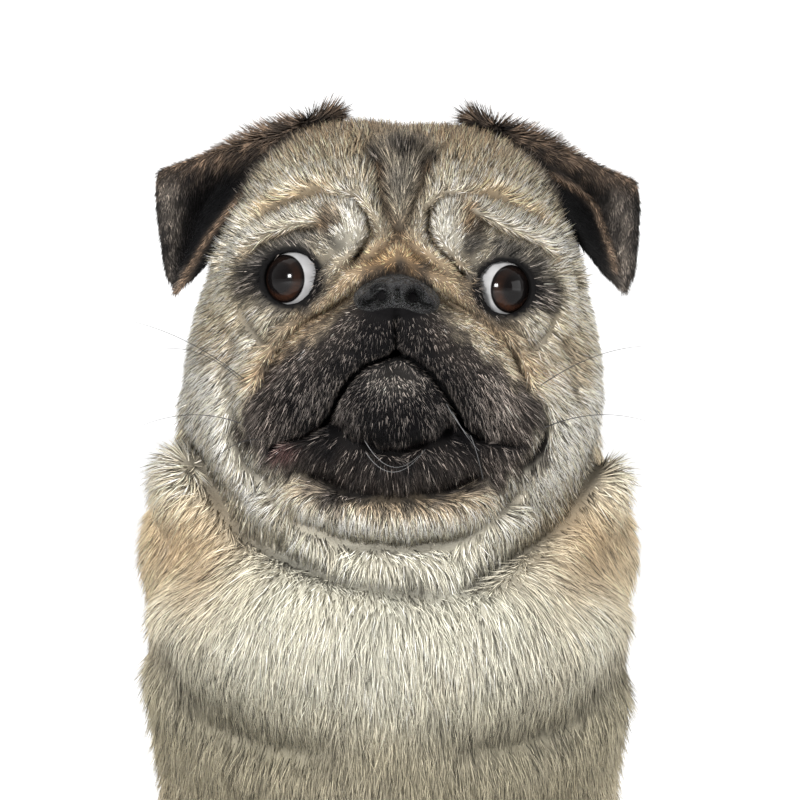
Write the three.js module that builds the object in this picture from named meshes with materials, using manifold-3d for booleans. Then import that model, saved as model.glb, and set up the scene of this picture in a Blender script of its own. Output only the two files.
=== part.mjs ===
// A life-size pug that sits upright and looks straight ahead, as a still museum model.
// Millimetres, +Z up. The dog faces -Y, so its own left side is +X. It rests on the plane z = 0.
// The body is one smooth field of blended rounded forms, turned into faceted solids and parted by thin cuts.
// Each solid reaches to the tips of the coat, so the short fur adds nothing to its size.
import * as THREE from "three";
import { mergeVertices } from "three/addons/utils/BufferGeometryUtils.js";
import Module from "manifold-3d";

// Driving dimensions
const GAP = 0.3; // clearance between touching solids
const HEAD_PLACE = [3, -28, 326]; // centre of the skull
const HEAD_ROLL = 2.6; // degrees that the head leans, its left side downwards
const EYE_RADIUS = 11;
const EYE_PLACE = [33.3, -46, 6.2]; // left eye from the centre of the skull
const EYE_TURN = 14; // degrees that each eye opening faces outwards
const LID_THICKNESS = 2.2;
const FOREPAW = [50, -26]; // left paw centre across and along
const HINDPAW = [71, 74];
const PAW_SINK = 2; // depth of pad that the floor cut takes off to leave a flat

const wasm = await Module();
wasm.setup();

// Fields. Each is a function of x, y, z that is negative inside the form.

function ellipsoid(centre, radii, turn = [0, 0, 0]) {
  const angles = turn.map(THREE.MathUtils.degToRad);
  const m = new THREE.Matrix4().makeRotationFromEuler(new THREE.Euler(...angles)).elements;
  return (x, y, z) => {
    const dx = x - centre[0];
    const dy = y - centre[1];
    const dz = z - centre[2];
    const u = (m[0] * dx + m[1] * dy + m[2] * dz) / radii[0];
    const v = (m[4] * dx + m[5] * dy + m[6] * dz) / radii[1];
    const w = (m[8] * dx + m[9] * dy + m[10] * dz) / radii[2];
    const inner = Math.hypot(u, v, w);
    const slope = Math.hypot(u / radii[0], v / radii[1], w / radii[2]);
    return slope < 1e-9 ? -Math.min(...radii) : (inner * (inner - 1)) / slope;
  };
}

// A rod with round ends whose radius runs from ra at a to rb at b.
function limb(a, b, ra, rb) {
  const ab = [b[0] - a[0], b[1] - a[1], b[2] - a[2]];
  const length2 = ab[0] ** 2 + ab[1] ** 2 + ab[2] ** 2;
  return (x, y, z) => {
    const along = (x - a[0]) * ab[0] + (y - a[1]) * ab[1] + (z - a[2]) * ab[2];
    const t = Math.min(1, Math.max(0, along / length2));
    const away = Math.hypot(x - a[0] - t * ab[0], y - a[1] - t * ab[1], z - a[2] - t * ab[2]);
    return away - (ra + t * (rb - ra));
  };
}

// A chain of limbs through points, one radius at each point.
function chain(points, radii, k) {
  const links = points.slice(1).map((p, i) => limb(points[i], p, radii[i], radii[i + 1]));
  return blend(k, ...links);
}

function softMin(a, b, k) {
  const h = Math.max(k - Math.abs(a - b), 0) / k;
  return Math.min(a, b) - (h * h * k) / 4;
}

// Union of fields with fillets of size k.
function blend(k, ...fields) {
  return (x, y, z) => fields.map((f) => f(x, y, z)).reduce((a, b) => softMin(a, b, k));
}

// The same form on both sides of the plane x = 0.
const pair = (field) => (x, y, z) => field(Math.abs(x), y, z);

// Head forms, measured from the centre of the skull with the head upright.

function headForms() {
  const skull = ellipsoid([0, 0, 0], [66, 60, 62]);
  const crown = pair(ellipsoid([21, -6, 28], [36, 46, 33]));
  const cheek = pair(ellipsoid([40, -8, -30], [33, 42, 44]));
  const muzzle = pair(limb([8, -57, -12], [37, -42, -34], 14, 18));
  const noseBase = ellipsoid([0, -54, 0], [15, 19, 13]);
  const noseRoll = pair(
    chain([[0, -65, 15], [16, -62, 9], [31, -54, -4], [43, -43, -20]], [6.5, 6.5, 6, 5], 2),
  );
  const browPad = pair(ellipsoid([19, -50, 25], [11, 9, 15], [0, -14, 0]));
  const browBand = pair(
    chain([[15, -46, 41], [33, -44, 36], [51, -36, 25], [60, -26, 11]], [6, 6, 6, 5], 2),
  );
  const forehead = limb([0, -52, 21], [0, -36, 44], 9, 14);
  const orbit = pair(ellipsoid([38, -38, 5], [21, 17, 20]));
  const chin = ellipsoid([0, -52, -35], [20, 19, 17]);
  const lowerLip = pair(limb([0, -49, -54], [36, -38, -50], 13, 11));
  const chinFold = ellipsoid([0, -32, -68], [44, 31, 16]);
  const jowl = pair(limb([20, -34, -74], [58, -14, -38], 14, 15));
  const base = blend(14, skull, crown, cheek, orbit);
  const throat = blend(6, chinFold, jowl, lowerLip);
  const face = blend(4, base, noseBase, noseRoll, browPad, browBand, forehead);
  return blend(3.5, face, throat, muzzle, chin);
}

// Turn and shift that put head forms and head solids in their place.
const headTurn = THREE.MathUtils.degToRad(HEAD_ROLL);
const headMatrix = new THREE.Matrix4().makeRotationY(headTurn).setPosition(...HEAD_PLACE);

function placedHead(field) {
  const [c, s] = [Math.cos(headTurn), Math.sin(headTurn)];
  return (x, y, z) => {
    const dx = x - HEAD_PLACE[0];
    const dz = z - HEAD_PLACE[2];
    return field(dx * c - dz * s, y - HEAD_PLACE[1], dx * s + dz * c);
  };
}

// Trunk forms

function neckForms() {
  const neck = ellipsoid([0, 2, 284], [76, 60, 52]);
  const neckFold = pair(limb([0, -62, 236], [64, -26, 262], 18, 20));
  const ruff = ellipsoid([0, 8, 240], [90, 72, 58]);
  return blend(8, blend(16, neck, ruff), neckFold);
}

function trunkForms() {
  const forechest = ellipsoid([0, -30, 216], [84, 56, 42]);
  const ribs = limb([0, 12, 205], [0, 105, 150], 80, 76);
  const loin = limb([0, 105, 150], [0, 170, 92], 76, 68);
  const rump = ellipsoid([0, 195, 72], [66, 60, 72 + PAW_SINK]);
  return blend(14, blend(30, ribs, loin, rump), forechest);
}

// Four toes across the front of a paw whose centre is x, y.
function toes(x, y) {
  const spread = [-12.2, -4.3, 4.3, 12.2];
  const reach = [-19, -24, -24, -19];
  return spread.map((dx, i) => ellipsoid([x + dx, y + reach[i], 9.5], [5.9, 11, 9.3]));
}

function pawForms(x, y) {
  const sole = ellipsoid([x, y, 13], [18, 26, 13 + PAW_SINK]);
  return blend(2.5, sole, ...toes(x, y));
}

// The left foreleg, from shoulder to toes
function forelegForms() {
  const upperArm = limb([59, -18, 203], [60, 34, 143], 28, 23);
  const forearm = limb([59, 30, 143], [51, -6, 46], 21, 14.5);
  const pastern = limb([51, -6, 46], [FOREPAW[0], -14, 22], 14.5, 14);
  return blend(8, blend(10, upperArm, forearm, pastern), pawForms(FOREPAW[0], FOREPAW[1]));
}

// The left hind leg, folded as in sitting
function hindlegForms() {
  const haunch = ellipsoid([58, 152, 80], [34, 68, 64], [-14, 0, 0]);
  const thigh = limb([60, 140, 92], [68, 86, 80], 38, 27);
  const shank = limb([69, 86, 70], [67, 168, 28], 24, 16);
  const metatarsus = limb([67, 172, 19], [HINDPAW[0] - 1, 98, 15], 15.5, 14.5);
  const upper = blend(16, haunch, thigh, shank);
  return blend(8, upper, metatarsus, pawForms(HINDPAW[0], HINDPAW[1]));
}

const headField = placedHead(headForms());
const neckField = neckForms();
const trunkField = trunkForms();
const forelegField = forelegForms();
const hindlegField = hindlegForms();
const upperBody = blend(12, trunkField, neckField);
const wholeBody = blend(
  10,
  blend(7, upperBody, headField),
  pair(forelegField),
  pair(hindlegField),
);

// Faceted surface of a field

// Grid lines from low to high, spaced by the step that stepAt gives at each place.
function gridLines(low, high, stepAt) {
  const lines = [low];
  while (lines.at(-1) < high) lines.push(lines.at(-1) + stepAt(lines.at(-1)));
  return lines;
}

// The same lines on both sides of zero.
function mirroredLines(high, stepAt) {
  const right = gridLines(0, high, stepAt);
  return [...right.slice(1).reverse().map((x) => -x), ...right];
}

const CORNERS = [0, 1, 2, 3, 4, 5, 6, 7].map((n) => [n & 1, (n >> 1) & 1, (n >> 2) & 1]);
const CELL_EDGES = [
  [0, 1], [2, 3], [4, 5], [6, 7],
  [0, 2], [1, 3], [4, 6], [5, 7],
  [0, 4], [1, 5], [2, 6], [3, 7],
];

const sameplace = (p) => p;

// One vertex for each grid cell that the surface passes through, and one quad for each crossed grid edge.
// The form ends at the grid's own sides, so that the net is always closed. The warp spreads the grid out.
function surfaceNet(field, xs, ys, zs, warp = sameplace) {
  const lines = [xs, ys, zs];
  const stride = [1, xs.length, xs.length * ys.length];
  const values = new Float64Array(xs.length * ys.length * zs.length);
  const onRim = (cell, reach) => cell.some((c, axis) => c === 0 || c >= lines[axis].length - reach);
  let n = 0;
  zs.forEach((z, k) =>
    ys.forEach((y, j) =>
      xs.forEach((x, i) => {
        const value = field(...warp([x, y, z]));
        values[n++] = onRim([i, j, k], 1) ? Math.max(value, 1) : value;
      }),
    ),
  );
  const vertexOf = new Int32Array(values.length).fill(-1);
  const positions = [];
  const fixed = [];
  const index = [];
  const cornerAt = (cell, corner) => cell.map((c, axis) => lines[axis][c + corner[axis]]);
  const offsetOf = (cell) => cell[0] + cell[1] * stride[1] + cell[2] * stride[2];

  const placeVertex = (cell) => {
    const at = offsetOf(cell);
    const inside = CORNERS.map((c) => values[at + offsetOf(c)]);
    const crossings = CELL_EDGES.filter(([a, b]) => inside[a] < 0 !== inside[b] < 0);
    if (!crossings.length) return;
    const sum = [0, 0, 0];
    for (const [a, b] of crossings) {
      const t = inside[a] / (inside[a] - inside[b]);
      const from = cornerAt(cell, CORNERS[a]);
      const to = cornerAt(cell, CORNERS[b]);
      for (let axis = 0; axis < 3; axis++) sum[axis] += from[axis] + t * (to[axis] - from[axis]);
    }
    vertexOf[at] = positions.length / 3;
    positions.push(...warp(sum.map((s) => s / crossings.length)));
    fixed.push(onRim(cell, 2));
  };

  const placeQuads = (cell) => {
    const at = offsetOf(cell);
    for (let axis = 0; axis < 3; axis++) {
      const [side, up] = [stride[(axis + 1) % 3], stride[(axis + 2) % 3]];
      const [first, second] = [values[at], values[at + stride[axis]]];
      if (first < 0 === second < 0) continue;
      const ring = [at - side - up, at - up, at, at - side].map((i) => vertexOf[i]);
      if (first >= 0) ring.reverse();
      index.push(ring[0], ring[1], ring[2], ring[0], ring[2], ring[3]);
    }
  };

  const eachCell = (visit) => {
    for (let k = 0; k < zs.length - 1; k++)
      for (let j = 0; j < ys.length - 1; j++)
        for (let i = 0; i < xs.length - 1; i++) visit([i, j, k]);
  };
  eachCell(placeVertex);
  eachCell(placeQuads);
  settle(positions, index, fixed, field);
  return new THREE.BufferGeometry()
    .setAttribute("position", new THREE.BufferAttribute(new Float32Array(positions), 3))
    .setIndex(index);
}

const SETTLE_ROUNDS = 3;
const SETTLE_STEP = 0.5;
const PROBE = 0.2; // half the distance over which the slope of a field is measured

// Evens out the facets, then moves every free vertex back onto the field's surface.
function settle(positions, index, fixed, field) {
  const count = positions.length / 3;
  for (let round = 0; round < SETTLE_ROUNDS; round++) {
    const sums = new Float64Array(positions.length);
    const degree = new Float64Array(count);
    for (let t = 0; t < index.length; t += 3)
      for (let e = 0; e < 3; e++) {
        const a = index[t + e];
        const b = index[t + ((e + 1) % 3)];
        degree[a]++;
        for (let axis = 0; axis < 3; axis++) sums[3 * a + axis] += positions[3 * b + axis];
      }
    for (let v = 0; v < count; v++) {
      if (fixed[v]) continue;
      const p = [0, 1, 2].map((axis) => {
        const here = positions[3 * v + axis];
        return here + SETTLE_STEP * (sums[3 * v + axis] / degree[v] - here);
      });
      const landed = ontoSurface(p, field);
      landed.forEach((value, axis) => (positions[3 * v + axis] = value));
    }
  }
}

function ontoSurface(p, field) {
  let [x, y, z] = p;
  for (let step = 0; step < 2; step++) {
    const slope = [
      field(x + PROBE, y, z) - field(x - PROBE, y, z),
      field(x, y + PROBE, z) - field(x, y - PROBE, z),
      field(x, y, z + PROBE) - field(x, y, z - PROBE),
    ].map((d) => d / (2 * PROBE));
    const steep = slope[0] ** 2 + slope[1] ** 2 + slope[2] ** 2;
    const shift = field(x, y, z) / Math.max(steep, 0.25);
    x -= shift * slope[0];
    y -= shift * slope[1];
    z -= shift * slope[2];
  }
  return [x, y, z];
}

// Solids, joined and cut

function solidOf(geometry) {
  const bare = geometry.clone();
  bare.deleteAttribute("normal");
  bare.deleteAttribute("uv");
  const merged = mergeVertices(bare, 1e-4);
  const vertProperties = new Float32Array(merged.attributes.position.array);
  const triVerts = new Uint32Array(merged.index.array);
  return new wasm.Manifold(new wasm.Mesh({ numProp: 3, vertProperties, triVerts }));
}

function geometryOf(solid) {
  const { vertProperties, triVerts } = solid.getMesh();
  return new THREE.BufferGeometry()
    .setAttribute("position", new THREE.BufferAttribute(vertProperties, 3))
    .setIndex(new THREE.BufferAttribute(triVerts, 1));
}

const SHORT_EDGE = 0.04;

// Takes out the very short edges that cuts leave, where that keeps the surface closed.
function withoutShortEdges(geometry) {
  const place = geometry.attributes.position;
  const faces = [];
  const facesOf = Array.from({ length: place.count }, () => new Set());
  for (let t = 0; t < geometry.index.count; t += 3) {
    const face = [0, 1, 2].map((e) => geometry.index.getX(t + e));
    face.forEach((v) => facesOf[v].add(faces.length));
    faces.push(face);
  }
  const point = (v) => new THREE.Vector3().fromBufferAttribute(place, v);
  const around = (v) => new Set([...facesOf[v]].flatMap((f) => faces[f]));
  for (let f = 0; f < faces.length; f++)
    for (let e = 0; e < 3 && faces[f]; e++) {
      const [keep, drop] = [faces[f][e], faces[f][(e + 1) % 3]];
      if (point(keep).distanceTo(point(drop)) > SHORT_EDGE) continue;
      const near = around(drop);
      const shared = [...around(keep)].filter((v) => near.has(v)).length - 2;
      if (shared !== 2) continue;
      for (const touched of facesOf[drop]) {
        if (faces[touched].includes(keep)) {
          faces[touched].forEach((v) => v !== drop && facesOf[v].delete(touched));
          faces[touched] = null;
        } else {
          faces[touched] = faces[touched].map((v) => (v === drop ? keep : v));
          facesOf[keep].add(touched);
        }
      }
      facesOf[drop].clear();
      e = -1;
    }
  return apart(place, faces, facesOf);
}

const APART = 0.02;

// Vertices of two sheets that meet at one point are drawn back a little, each into its own sheet.
function apart(place, faces, facesOf) {
  const seen = new Map();
  const order = new Map();
  const positions = [];
  for (let v = 0; v < place.count; v++) {
    if (!facesOf[v].size) continue;
    const here = new THREE.Vector3().fromBufferAttribute(place, v);
    const key = here.toArray().map((c) => Math.round(c * 400)).join();
    if (seen.has(key)) {
      const ring = [...facesOf[v]].flatMap((f) => faces[f]).filter((w) => w !== v);
      const sum = new THREE.Vector3();
      for (const w of ring) sum.add(new THREE.Vector3().fromBufferAttribute(place, w));
      const pull = sum.divideScalar(ring.length).sub(here);
      here.addScaledVector(pull.normalize(), APART);
    }
    seen.set(key, v);
    order.set(v, positions.length / 3);
    positions.push(...here.toArray());
  }
  const index = faces.filter(Boolean).flatMap((face) => face.map((v) => order.get(v)));
  return new THREE.BufferGeometry()
    .setAttribute("position", new THREE.BufferAttribute(new Float32Array(positions), 3))
    .setIndex(index);
}

// The largest of a solid's closed bodies, without loose scraps.
function largest(solid) {
  return solid.decompose().reduce((a, b) => (b.volume() > a.volume() ? b : a));
}

function mirrored(solid) {
  const geometry = geometryOf(solid);
  geometry.scale(-1, 1, 1);
  const index = geometry.index.array;
  for (let t = 0; t < index.length; t += 3) [index[t], index[t + 1]] = [index[t + 1], index[t]];
  return solidOf(geometry);
}

function boxSolid(low, high) {
  const size = high.map((h, axis) => h - low[axis]);
  const middle = high.map((h, axis) => (h + low[axis]) / 2);
  return solidOf(new THREE.BoxGeometry(...size).translate(...middle));
}

const FAR = 900; // reaches past the whole dog

// Everything on the side of a plane that its normal points to. The plane holds point and runs along X.
function beyond(point, normal) {
  const turn = Math.atan2(normal[1], normal[0]) - Math.PI / 2;
  const slab = new THREE.BoxGeometry(FAR, FAR, FAR).translate(0, 0, FAR / 2).rotateX(turn);
  return solidOf(slab.translate(0, point[0], point[1]));
}

// Cutting planes of the neck, each as a point and a normal in Y and Z
const JAW_CUT = { point: [-90, 232], normal: [-0.463, 0.886] };
const COLLAR_CUT = { point: [-90, 200], normal: [-0.41, 0.912] };

// The space above a cut, moved away from it by half the gap.
function above(cut, sign) {
  const shifted = cut.point.map((c, axis) => c + (sign * cut.normal[axis] * GAP) / 2);
  return beyond(shifted, cut.normal);
}

const floorCut = boxSolid([-FAR, -FAR, -FAR], [FAR, FAR, 0]);

// Zones of the legs. Each is the space that its leg takes from the trunk, on the left side.
const SHOULDER_INSIDE = 39;
const SHOULDER_TOP = 222;
const FORELEG_BACK = 66;
const ELBOW_LINE = 100; // below it the whole column is leg
const WRIST_LINE = 41;
const HIP_INSIDE = 43;
const HIP_TOP = 139;
const HINDLEG_FRONT = 36;
const HOCK_CUT = 104; // the hind foot ahead of it is a node of its own

function forelegZone(grow) {
  const shoulder = boxSolid(
    [SHOULDER_INSIDE - grow, -FAR, ELBOW_LINE - 1],
    [FAR, FORELEG_BACK + grow, SHOULDER_TOP + grow],
  );
  const column = boxSolid([8, -FAR, -FAR], [FAR, HINDLEG_FRONT - GAP + grow, ELBOW_LINE + grow]);
  return shoulder.add(column);
}

function hindlegZone(grow) {
  const haunch = boxSolid(
    [HIP_INSIDE - grow, FORELEG_BACK + GAP - grow, -FAR],
    [FAR, FAR, HIP_TOP + grow],
  );
  const foot = boxSolid([HIP_INSIDE - grow, HINDLEG_FRONT, -FAR], [FAR, FAR, ELBOW_LINE - 5]);
  return haunch.add(foot);
}

// Head. Its solids are made around the centre of the skull, then turned and shifted.

const HEAD_STEP = 6.3;
const HEAD_BACK_SPREAD = 0.9; // how much coarser the facets are on the back of the head

const intoHead = (solid) => solidOf(geometryOf(solid).applyMatrix4(headMatrix));

function spreadBack([x, y, z]) {
  const back = THREE.MathUtils.smoothstep(y, -70, 20);
  const scale = 1 + HEAD_BACK_SPREAD * back;
  return [x * scale, y + 12 * back * back, 300 + (z - 300) * scale];
}

function eyeCentre(side) {
  return [side * EYE_PLACE[0], EYE_PLACE[1], EYE_PLACE[2]];
}

function ballSolid(centre, radius, detail) {
  return solidOf(new THREE.IcosahedronGeometry(radius, detail).translate(...centre));
}

// Upper and lower lids are a shell over the eyeball, with an eye-shaped opening between them.
const LID_OPENING = [9.2, 8.8];

function lidShell(side) {
  return ballSolid(eyeCentre(side), EYE_RADIUS + LID_THICKNESS, 4);
}

function lidOpening(side) {
  const tunnel = new THREE.CylinderGeometry(1.3, 0.86, 24, 20).translate(0, 16, 0);
  tunnel.scale(LID_OPENING[0], 1, LID_OPENING[1]).rotateX(Math.PI);
  tunnel.rotateZ(THREE.MathUtils.degToRad(side * EYE_TURN));
  return solidOf(tunnel.translate(...eyeCentre(side)));
}

// Half of the mouth line, from below the nose to the left corner, a little inside the lips
const MOUTH_LINE = new THREE.CatmullRomCurve3(
  [
    [-4, -70, -18.6],
    [4, -70, -18.6],
    [13, -68, -25],
    [21.5, -65, -31],
    [26, -60, -38.5],
    [32, -53, -44],
    [43, -40, -49],
  ].map(([x, y, z]) => new THREE.Vector3(x, y, z)),
);
const MOUTH_OPENING = 1.7;
const MOUTH_DEPTH = 13;

// A wedge that follows the mouth line and narrows into the head.
function mouthCut() {
  const wedge = new THREE.BoxGeometry(1, 1, 1, 18, 1, 1);
  const place = wedge.attributes.position;
  for (let i = 0; i < place.count; i++) {
    const t = place.getX(i) + 0.5;
    const depth = place.getY(i) + 0.5;
    const line = MOUTH_LINE.getPoint(t);
    const lift = place.getZ(i) * MOUTH_OPENING * (depth > 0.5 ? 0.45 : 1.6);
    const along = MOUTH_LINE.getTangent(t);
    const y = line.y - 9 + depth * (9 + MOUTH_DEPTH * (1 - 0.5 * t));
    place.setXYZ(i, line.x - along.z * lift, y, line.z + along.x * lift);
  }
  const half = solidOf(wedge);
  return half.add(mirrored(half));
}

// The nose pad, with nostrils and the cleft between them. Grown, it cuts its own seat in the head.
function noseSolid(grow) {
  const middle = ellipsoid([0, -69, 4], [9.5, 9.5, 6.6]);
  const wing = pair(ellipsoid([8, -67, 1.6], [6.2, 8.5, 5], [0, 0, -20]));
  const nostril = pair(ellipsoid([5.4, -77, 1.6], [2.7, 6.5, 3.1], [0, 30, 0]));
  const slit = pair(ellipsoid([9.2, -76, -0.6], [4.6, 5.5, 1.5], [0, 18, 0]));
  const cleft = ellipsoid([0, -81, -1], [1.1, 4.5, 6]);
  const pad = blend(3, middle, wing);
  const carved = (x, y, z) =>
    Math.max(pad(x, y, z), -Math.min(nostril(x, y, z), slit(x, y, z), cleft(x, y, z)));
  const field = grow ? (x, y, z) => pad(x, y, z) - grow : carved;
  const step = 2.6;
  return solidOf(
    surfaceNet(
      field,
      mirroredLines(18, () => step),
      gridLines(-86, -52, () => step),
      gridLines(-9, 16, () => step),
    ),
  );
}

// Ears. Each is a leaf that leaves the head along its root, folds at a ridge and hangs to a blunt tip.
// u runs across the leaf from its front rim to its outer edge, v from root to tip.
const EAR_THICKNESS = 3.6;
const EAR_ROOT = [[22, 4, 55], [56, 14, 24]];
const EARS = {
  left: { side: 1, start: [25, -8, 64], corner: [80, -3, 46], tip: [77, -26, 8], hollow: 9 },
  right: { side: -1, start: [27, -8, 63], corner: [84, -3, 42], tip: [75, -26, 1], hollow: 8 },
};
const EAR_TIP_WIDTH = [6, 4, 2];
const EAR_FOLD = 0.35; // 0 bends the leaf evenly, 1 creases it at the ridge
const EAR_RIM = 3; // height of the thick rim along the front edge

const mix = (a, b, t) => a.map((value, axis) => value + t * (b[axis] - value));
const bump = (t, middle, width) => Math.exp(-(((t - middle) / width) ** 2));

function earPoint(ear, u, v) {
  const root = mix(EAR_ROOT[0], EAR_ROOT[1], u);
  const ridge = mix(ear.start, ear.corner, u);
  const tip = ear.tip.map((value, axis) => value + (u - 0.5) * EAR_TIP_WIDTH[axis]);
  const straight = v < 0.5 ? mix(root, ridge, 2 * v) : mix(ridge, tip, 2 * v - 1);
  const bent = ridge.map((value, axis) => {
    const knee = 2 * value - (root[axis] + tip[axis]) / 2;
    return (1 - v) ** 2 * root[axis] + 2 * v * (1 - v) * knee + v ** 2 * tip[axis];
  });
  const p = mix(bent, straight, EAR_FOLD);
  const hanging = bump(v, 0.77, 0.16);
  p[1] += hanging * (ear.hollow * bump(u, 0.58, 0.26) - EAR_RIM * bump(u, 0.14, 0.1));
  return new THREE.Vector3(ear.side * p[0], p[1], p[2]);
}

function earSolid(ear, grow) {
  const leaf = new THREE.SphereGeometry(1, 24, 12).rotateX(Math.PI / 2);
  const place = leaf.attributes.position;
  const half = EAR_THICKNESS / 2 + grow;
  for (let i = 0; i < place.count; i++) {
    const [a, b, c] = [place.getX(i), place.getY(i), place.getZ(i)];
    // The round sheet is squared off, so that the leaf fills its corners.
    const square = Math.max(Math.abs(a), Math.abs(b)) / Math.max(Math.hypot(a, b), 1e-6);
    const stretch = (1 + 0.75 * (1 / Math.max(square, 0.5) - 1)) * (1 + grow / 14);
    const u = 0.5 + 0.5 * a * stretch;
    const v = 0.5 + 0.5 * b * stretch;
    const here = earPoint(ear, u, v);
    const across = earPoint(ear, u + 0.01, v).sub(here);
    const along = earPoint(ear, u, v + 0.01).sub(here);
    const out = across.cross(along).normalize();
    here.addScaledVector(out, Math.sign(c) * Math.sqrt(Math.abs(c)) * half);
    place.setXYZ(i, here.x, here.y, here.z);
  }
  const solid = solidOf(leaf);
  if (solid.volume() > 0) return solid;
  const index = leaf.index.array;
  for (let t = 0; t < index.length; t += 3) [index[t], index[t + 1]] = [index[t + 1], index[t]];
  return solidOf(leaf);
}

// Claws. Each is a short bent cone set in a socket of its toe.
const CLAW_LENGTH = 11;
const CLAW_RADIUS = 2.5;

function clawSolid(toe, grow) {
  const cone = new THREE.ConeGeometry(CLAW_RADIUS + grow, CLAW_LENGTH + 2 * grow, 6, 2);
  const place = cone.attributes.position;
  for (let i = 0; i < place.count; i++) {
    const along = place.getY(i) / CLAW_LENGTH + 0.5;
    place.setZ(i, place.getZ(i) + 2.6 * along * along);
  }
  cone.rotateX(Math.PI / 2 + 0.12);
  return solidOf(cone.translate(...toe));
}

function clawPlaces(x, y) {
  const spread = [-13, -4.6, 4.6, 13];
  const reach = [-30, -35, -35, -30];
  return spread.map((dx, i) => [x + dx, y + reach[i], 8.6]);
}

// Tail. A tapered tube that leaves the rump upwards and winds to the dog's right in a close double curl.
const TAIL_TURNS = [-84, 425]; // degrees round the curl, from root to tip
const TAIL_CURL = { y: 234, z: 150, rootRadius: 49, radius: 23, tipRadius: 11 };
const TAIL_SHIFT = 36; // sideways, over the whole length
const TAIL_RADII = [13.5, 10.5, 5.5];

function tailPoint(t) {
  const turn = THREE.MathUtils.degToRad(TAIL_TURNS[0] + t * (TAIL_TURNS[1] - TAIL_TURNS[0]));
  const rise = Math.exp(-6.5 * t);
  const steady = TAIL_CURL.radius + t * (TAIL_CURL.tipRadius - TAIL_CURL.radius);
  const radius = steady + rise * (TAIL_CURL.rootRadius - TAIL_CURL.radius);
  return new THREE.Vector3(
    -TAIL_SHIFT * t * Math.min(1, 0.45 + t),
    TAIL_CURL.y + radius * Math.cos(turn),
    TAIL_CURL.z + radius * Math.sin(turn),
  );
}

function tailSolid(grow) {
  const tube = new THREE.CapsuleGeometry(1, 1, 2, 8, 22);
  const place = tube.attributes.position;
  for (let i = 0; i < place.count; i++) {
    const [a, along, b] = [place.getX(i), place.getY(i), place.getZ(i)];
    const t = Math.min(1, Math.max(0, along + 0.5));
    const cap = along - (t - 0.5);
    const here = tailPoint(t);
    const forward = tailPoint(t + 0.002).sub(tailPoint(t - 0.002)).normalize();
    const side = new THREE.Vector3(1, 0, 0).addScaledVector(forward, -forward.x).normalize();
    const up = side.clone().cross(forward);
    const middle = TAIL_RADII[0] + t * (TAIL_RADII[1] - TAIL_RADII[0]);
    const radius = middle + t ** 3 * (TAIL_RADII[2] - TAIL_RADII[1]) + grow;
    here.addScaledVector(side, a * radius);
    here.addScaledVector(up, b * radius);
    here.addScaledVector(forward, cap * radius);
    place.setXYZ(i, here.x, here.y, here.z);
  }
  return solidOf(tube);
}

// Everything is built on the left and mirrored, apart from the head and what is on the middle line.
const even = (low, high, step) => gridLines(low, high, () => step);

const headLines = {
  x: mirroredLines(72, () => HEAD_STEP),
  y: gridLines(-118, 52, (y) => (y < -30 ? HEAD_STEP : 8)),
  z: gridLines(226, 374, (z) => (z < 262 ? 7 : HEAD_STEP)),
};

function buildHead() {
  const net = surfaceNet(wholeBody, headLines.x, headLines.y, headLines.z, spreadBack);
  const shells = [1, -1].map((side) => intoHead(lidShell(side)));
  const cuts = [
    ...[1, -1].map((side) => ballSolid(eyeCentre(side), EYE_RADIUS + GAP + 0.2, 3)),
    ...[1, -1].map(lidOpening),
    ...Object.values(EARS).map((ear) => earSolid(ear, GAP + 0.4)),
    noseSolid(GAP + 0.25),
    mouthCut(),
  ];
  const rough = solidOf(net).intersect(above(JAW_CUT, 1));
  const head = shells.reduce((a, b) => a.add(b), rough);
  return largest(cuts.map(intoHead).reduce((a, b) => a.subtract(b), head));
}

function pairOf(name, left) {
  const solid = largest(left);
  return [
    [`${name}_left`, solid],
    [`${name}_right`, mirrored(solid)],
  ];
}

const clawSockets = (places) => places.map((p) => clawSolid(p, GAP + 0.1));
const frontClaws = clawPlaces(FOREPAW[0], FOREPAW[1]);
const hindClaws = clawPlaces(HINDPAW[0], HINDPAW[1]);

function buildForeleg() {
  const field = blend(10, upperBody, forelegField);
  const [xs, ys, zs] = [even(-2.4, 114, 11.9), even(-106.3, 88, 11.9), even(20.7, 244, 11.9)];
  const arm = surfaceNet(field, xs, ys, zs);
  const wrist = boxSolid([-FAR, -FAR, -FAR], [FAR, FAR, WRIST_LINE + GAP / 2]);
  return solidOf(arm).intersect(forelegZone(-GAP / 2)).subtract(wrist);
}

function buildForepaw() {
  const net = surfaceNet(
    forelegField,
    even(FOREPAW[0] - 28, FOREPAW[0] + 31, 6),
    even(FOREPAW[1] - 44, 34, 6.8),
    even(-8, WRIST_LINE + 14, 6.4),
  );
  const wrist = boxSolid([-FAR, -FAR, WRIST_LINE - GAP / 2], [FAR, FAR, FAR]);
  const paw = solidOf(net).subtract(wrist).subtract(floorCut);
  return clawSockets(frontClaws).reduce((a, b) => a.subtract(b), paw);
}

function buildHindleg() {
  const field = blend(10, trunkField, hindlegField);
  const leg = surfaceNet(field, even(16, 120, 14), even(20, 266, 14), even(-16, 168, 14));
  const foot = boxSolid([-FAR, -FAR, -FAR], [FAR, HOCK_CUT + GAP / 2, 34]);
  return solidOf(leg).intersect(hindlegZone(-GAP / 2)).subtract(foot).subtract(floorCut);
}

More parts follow.
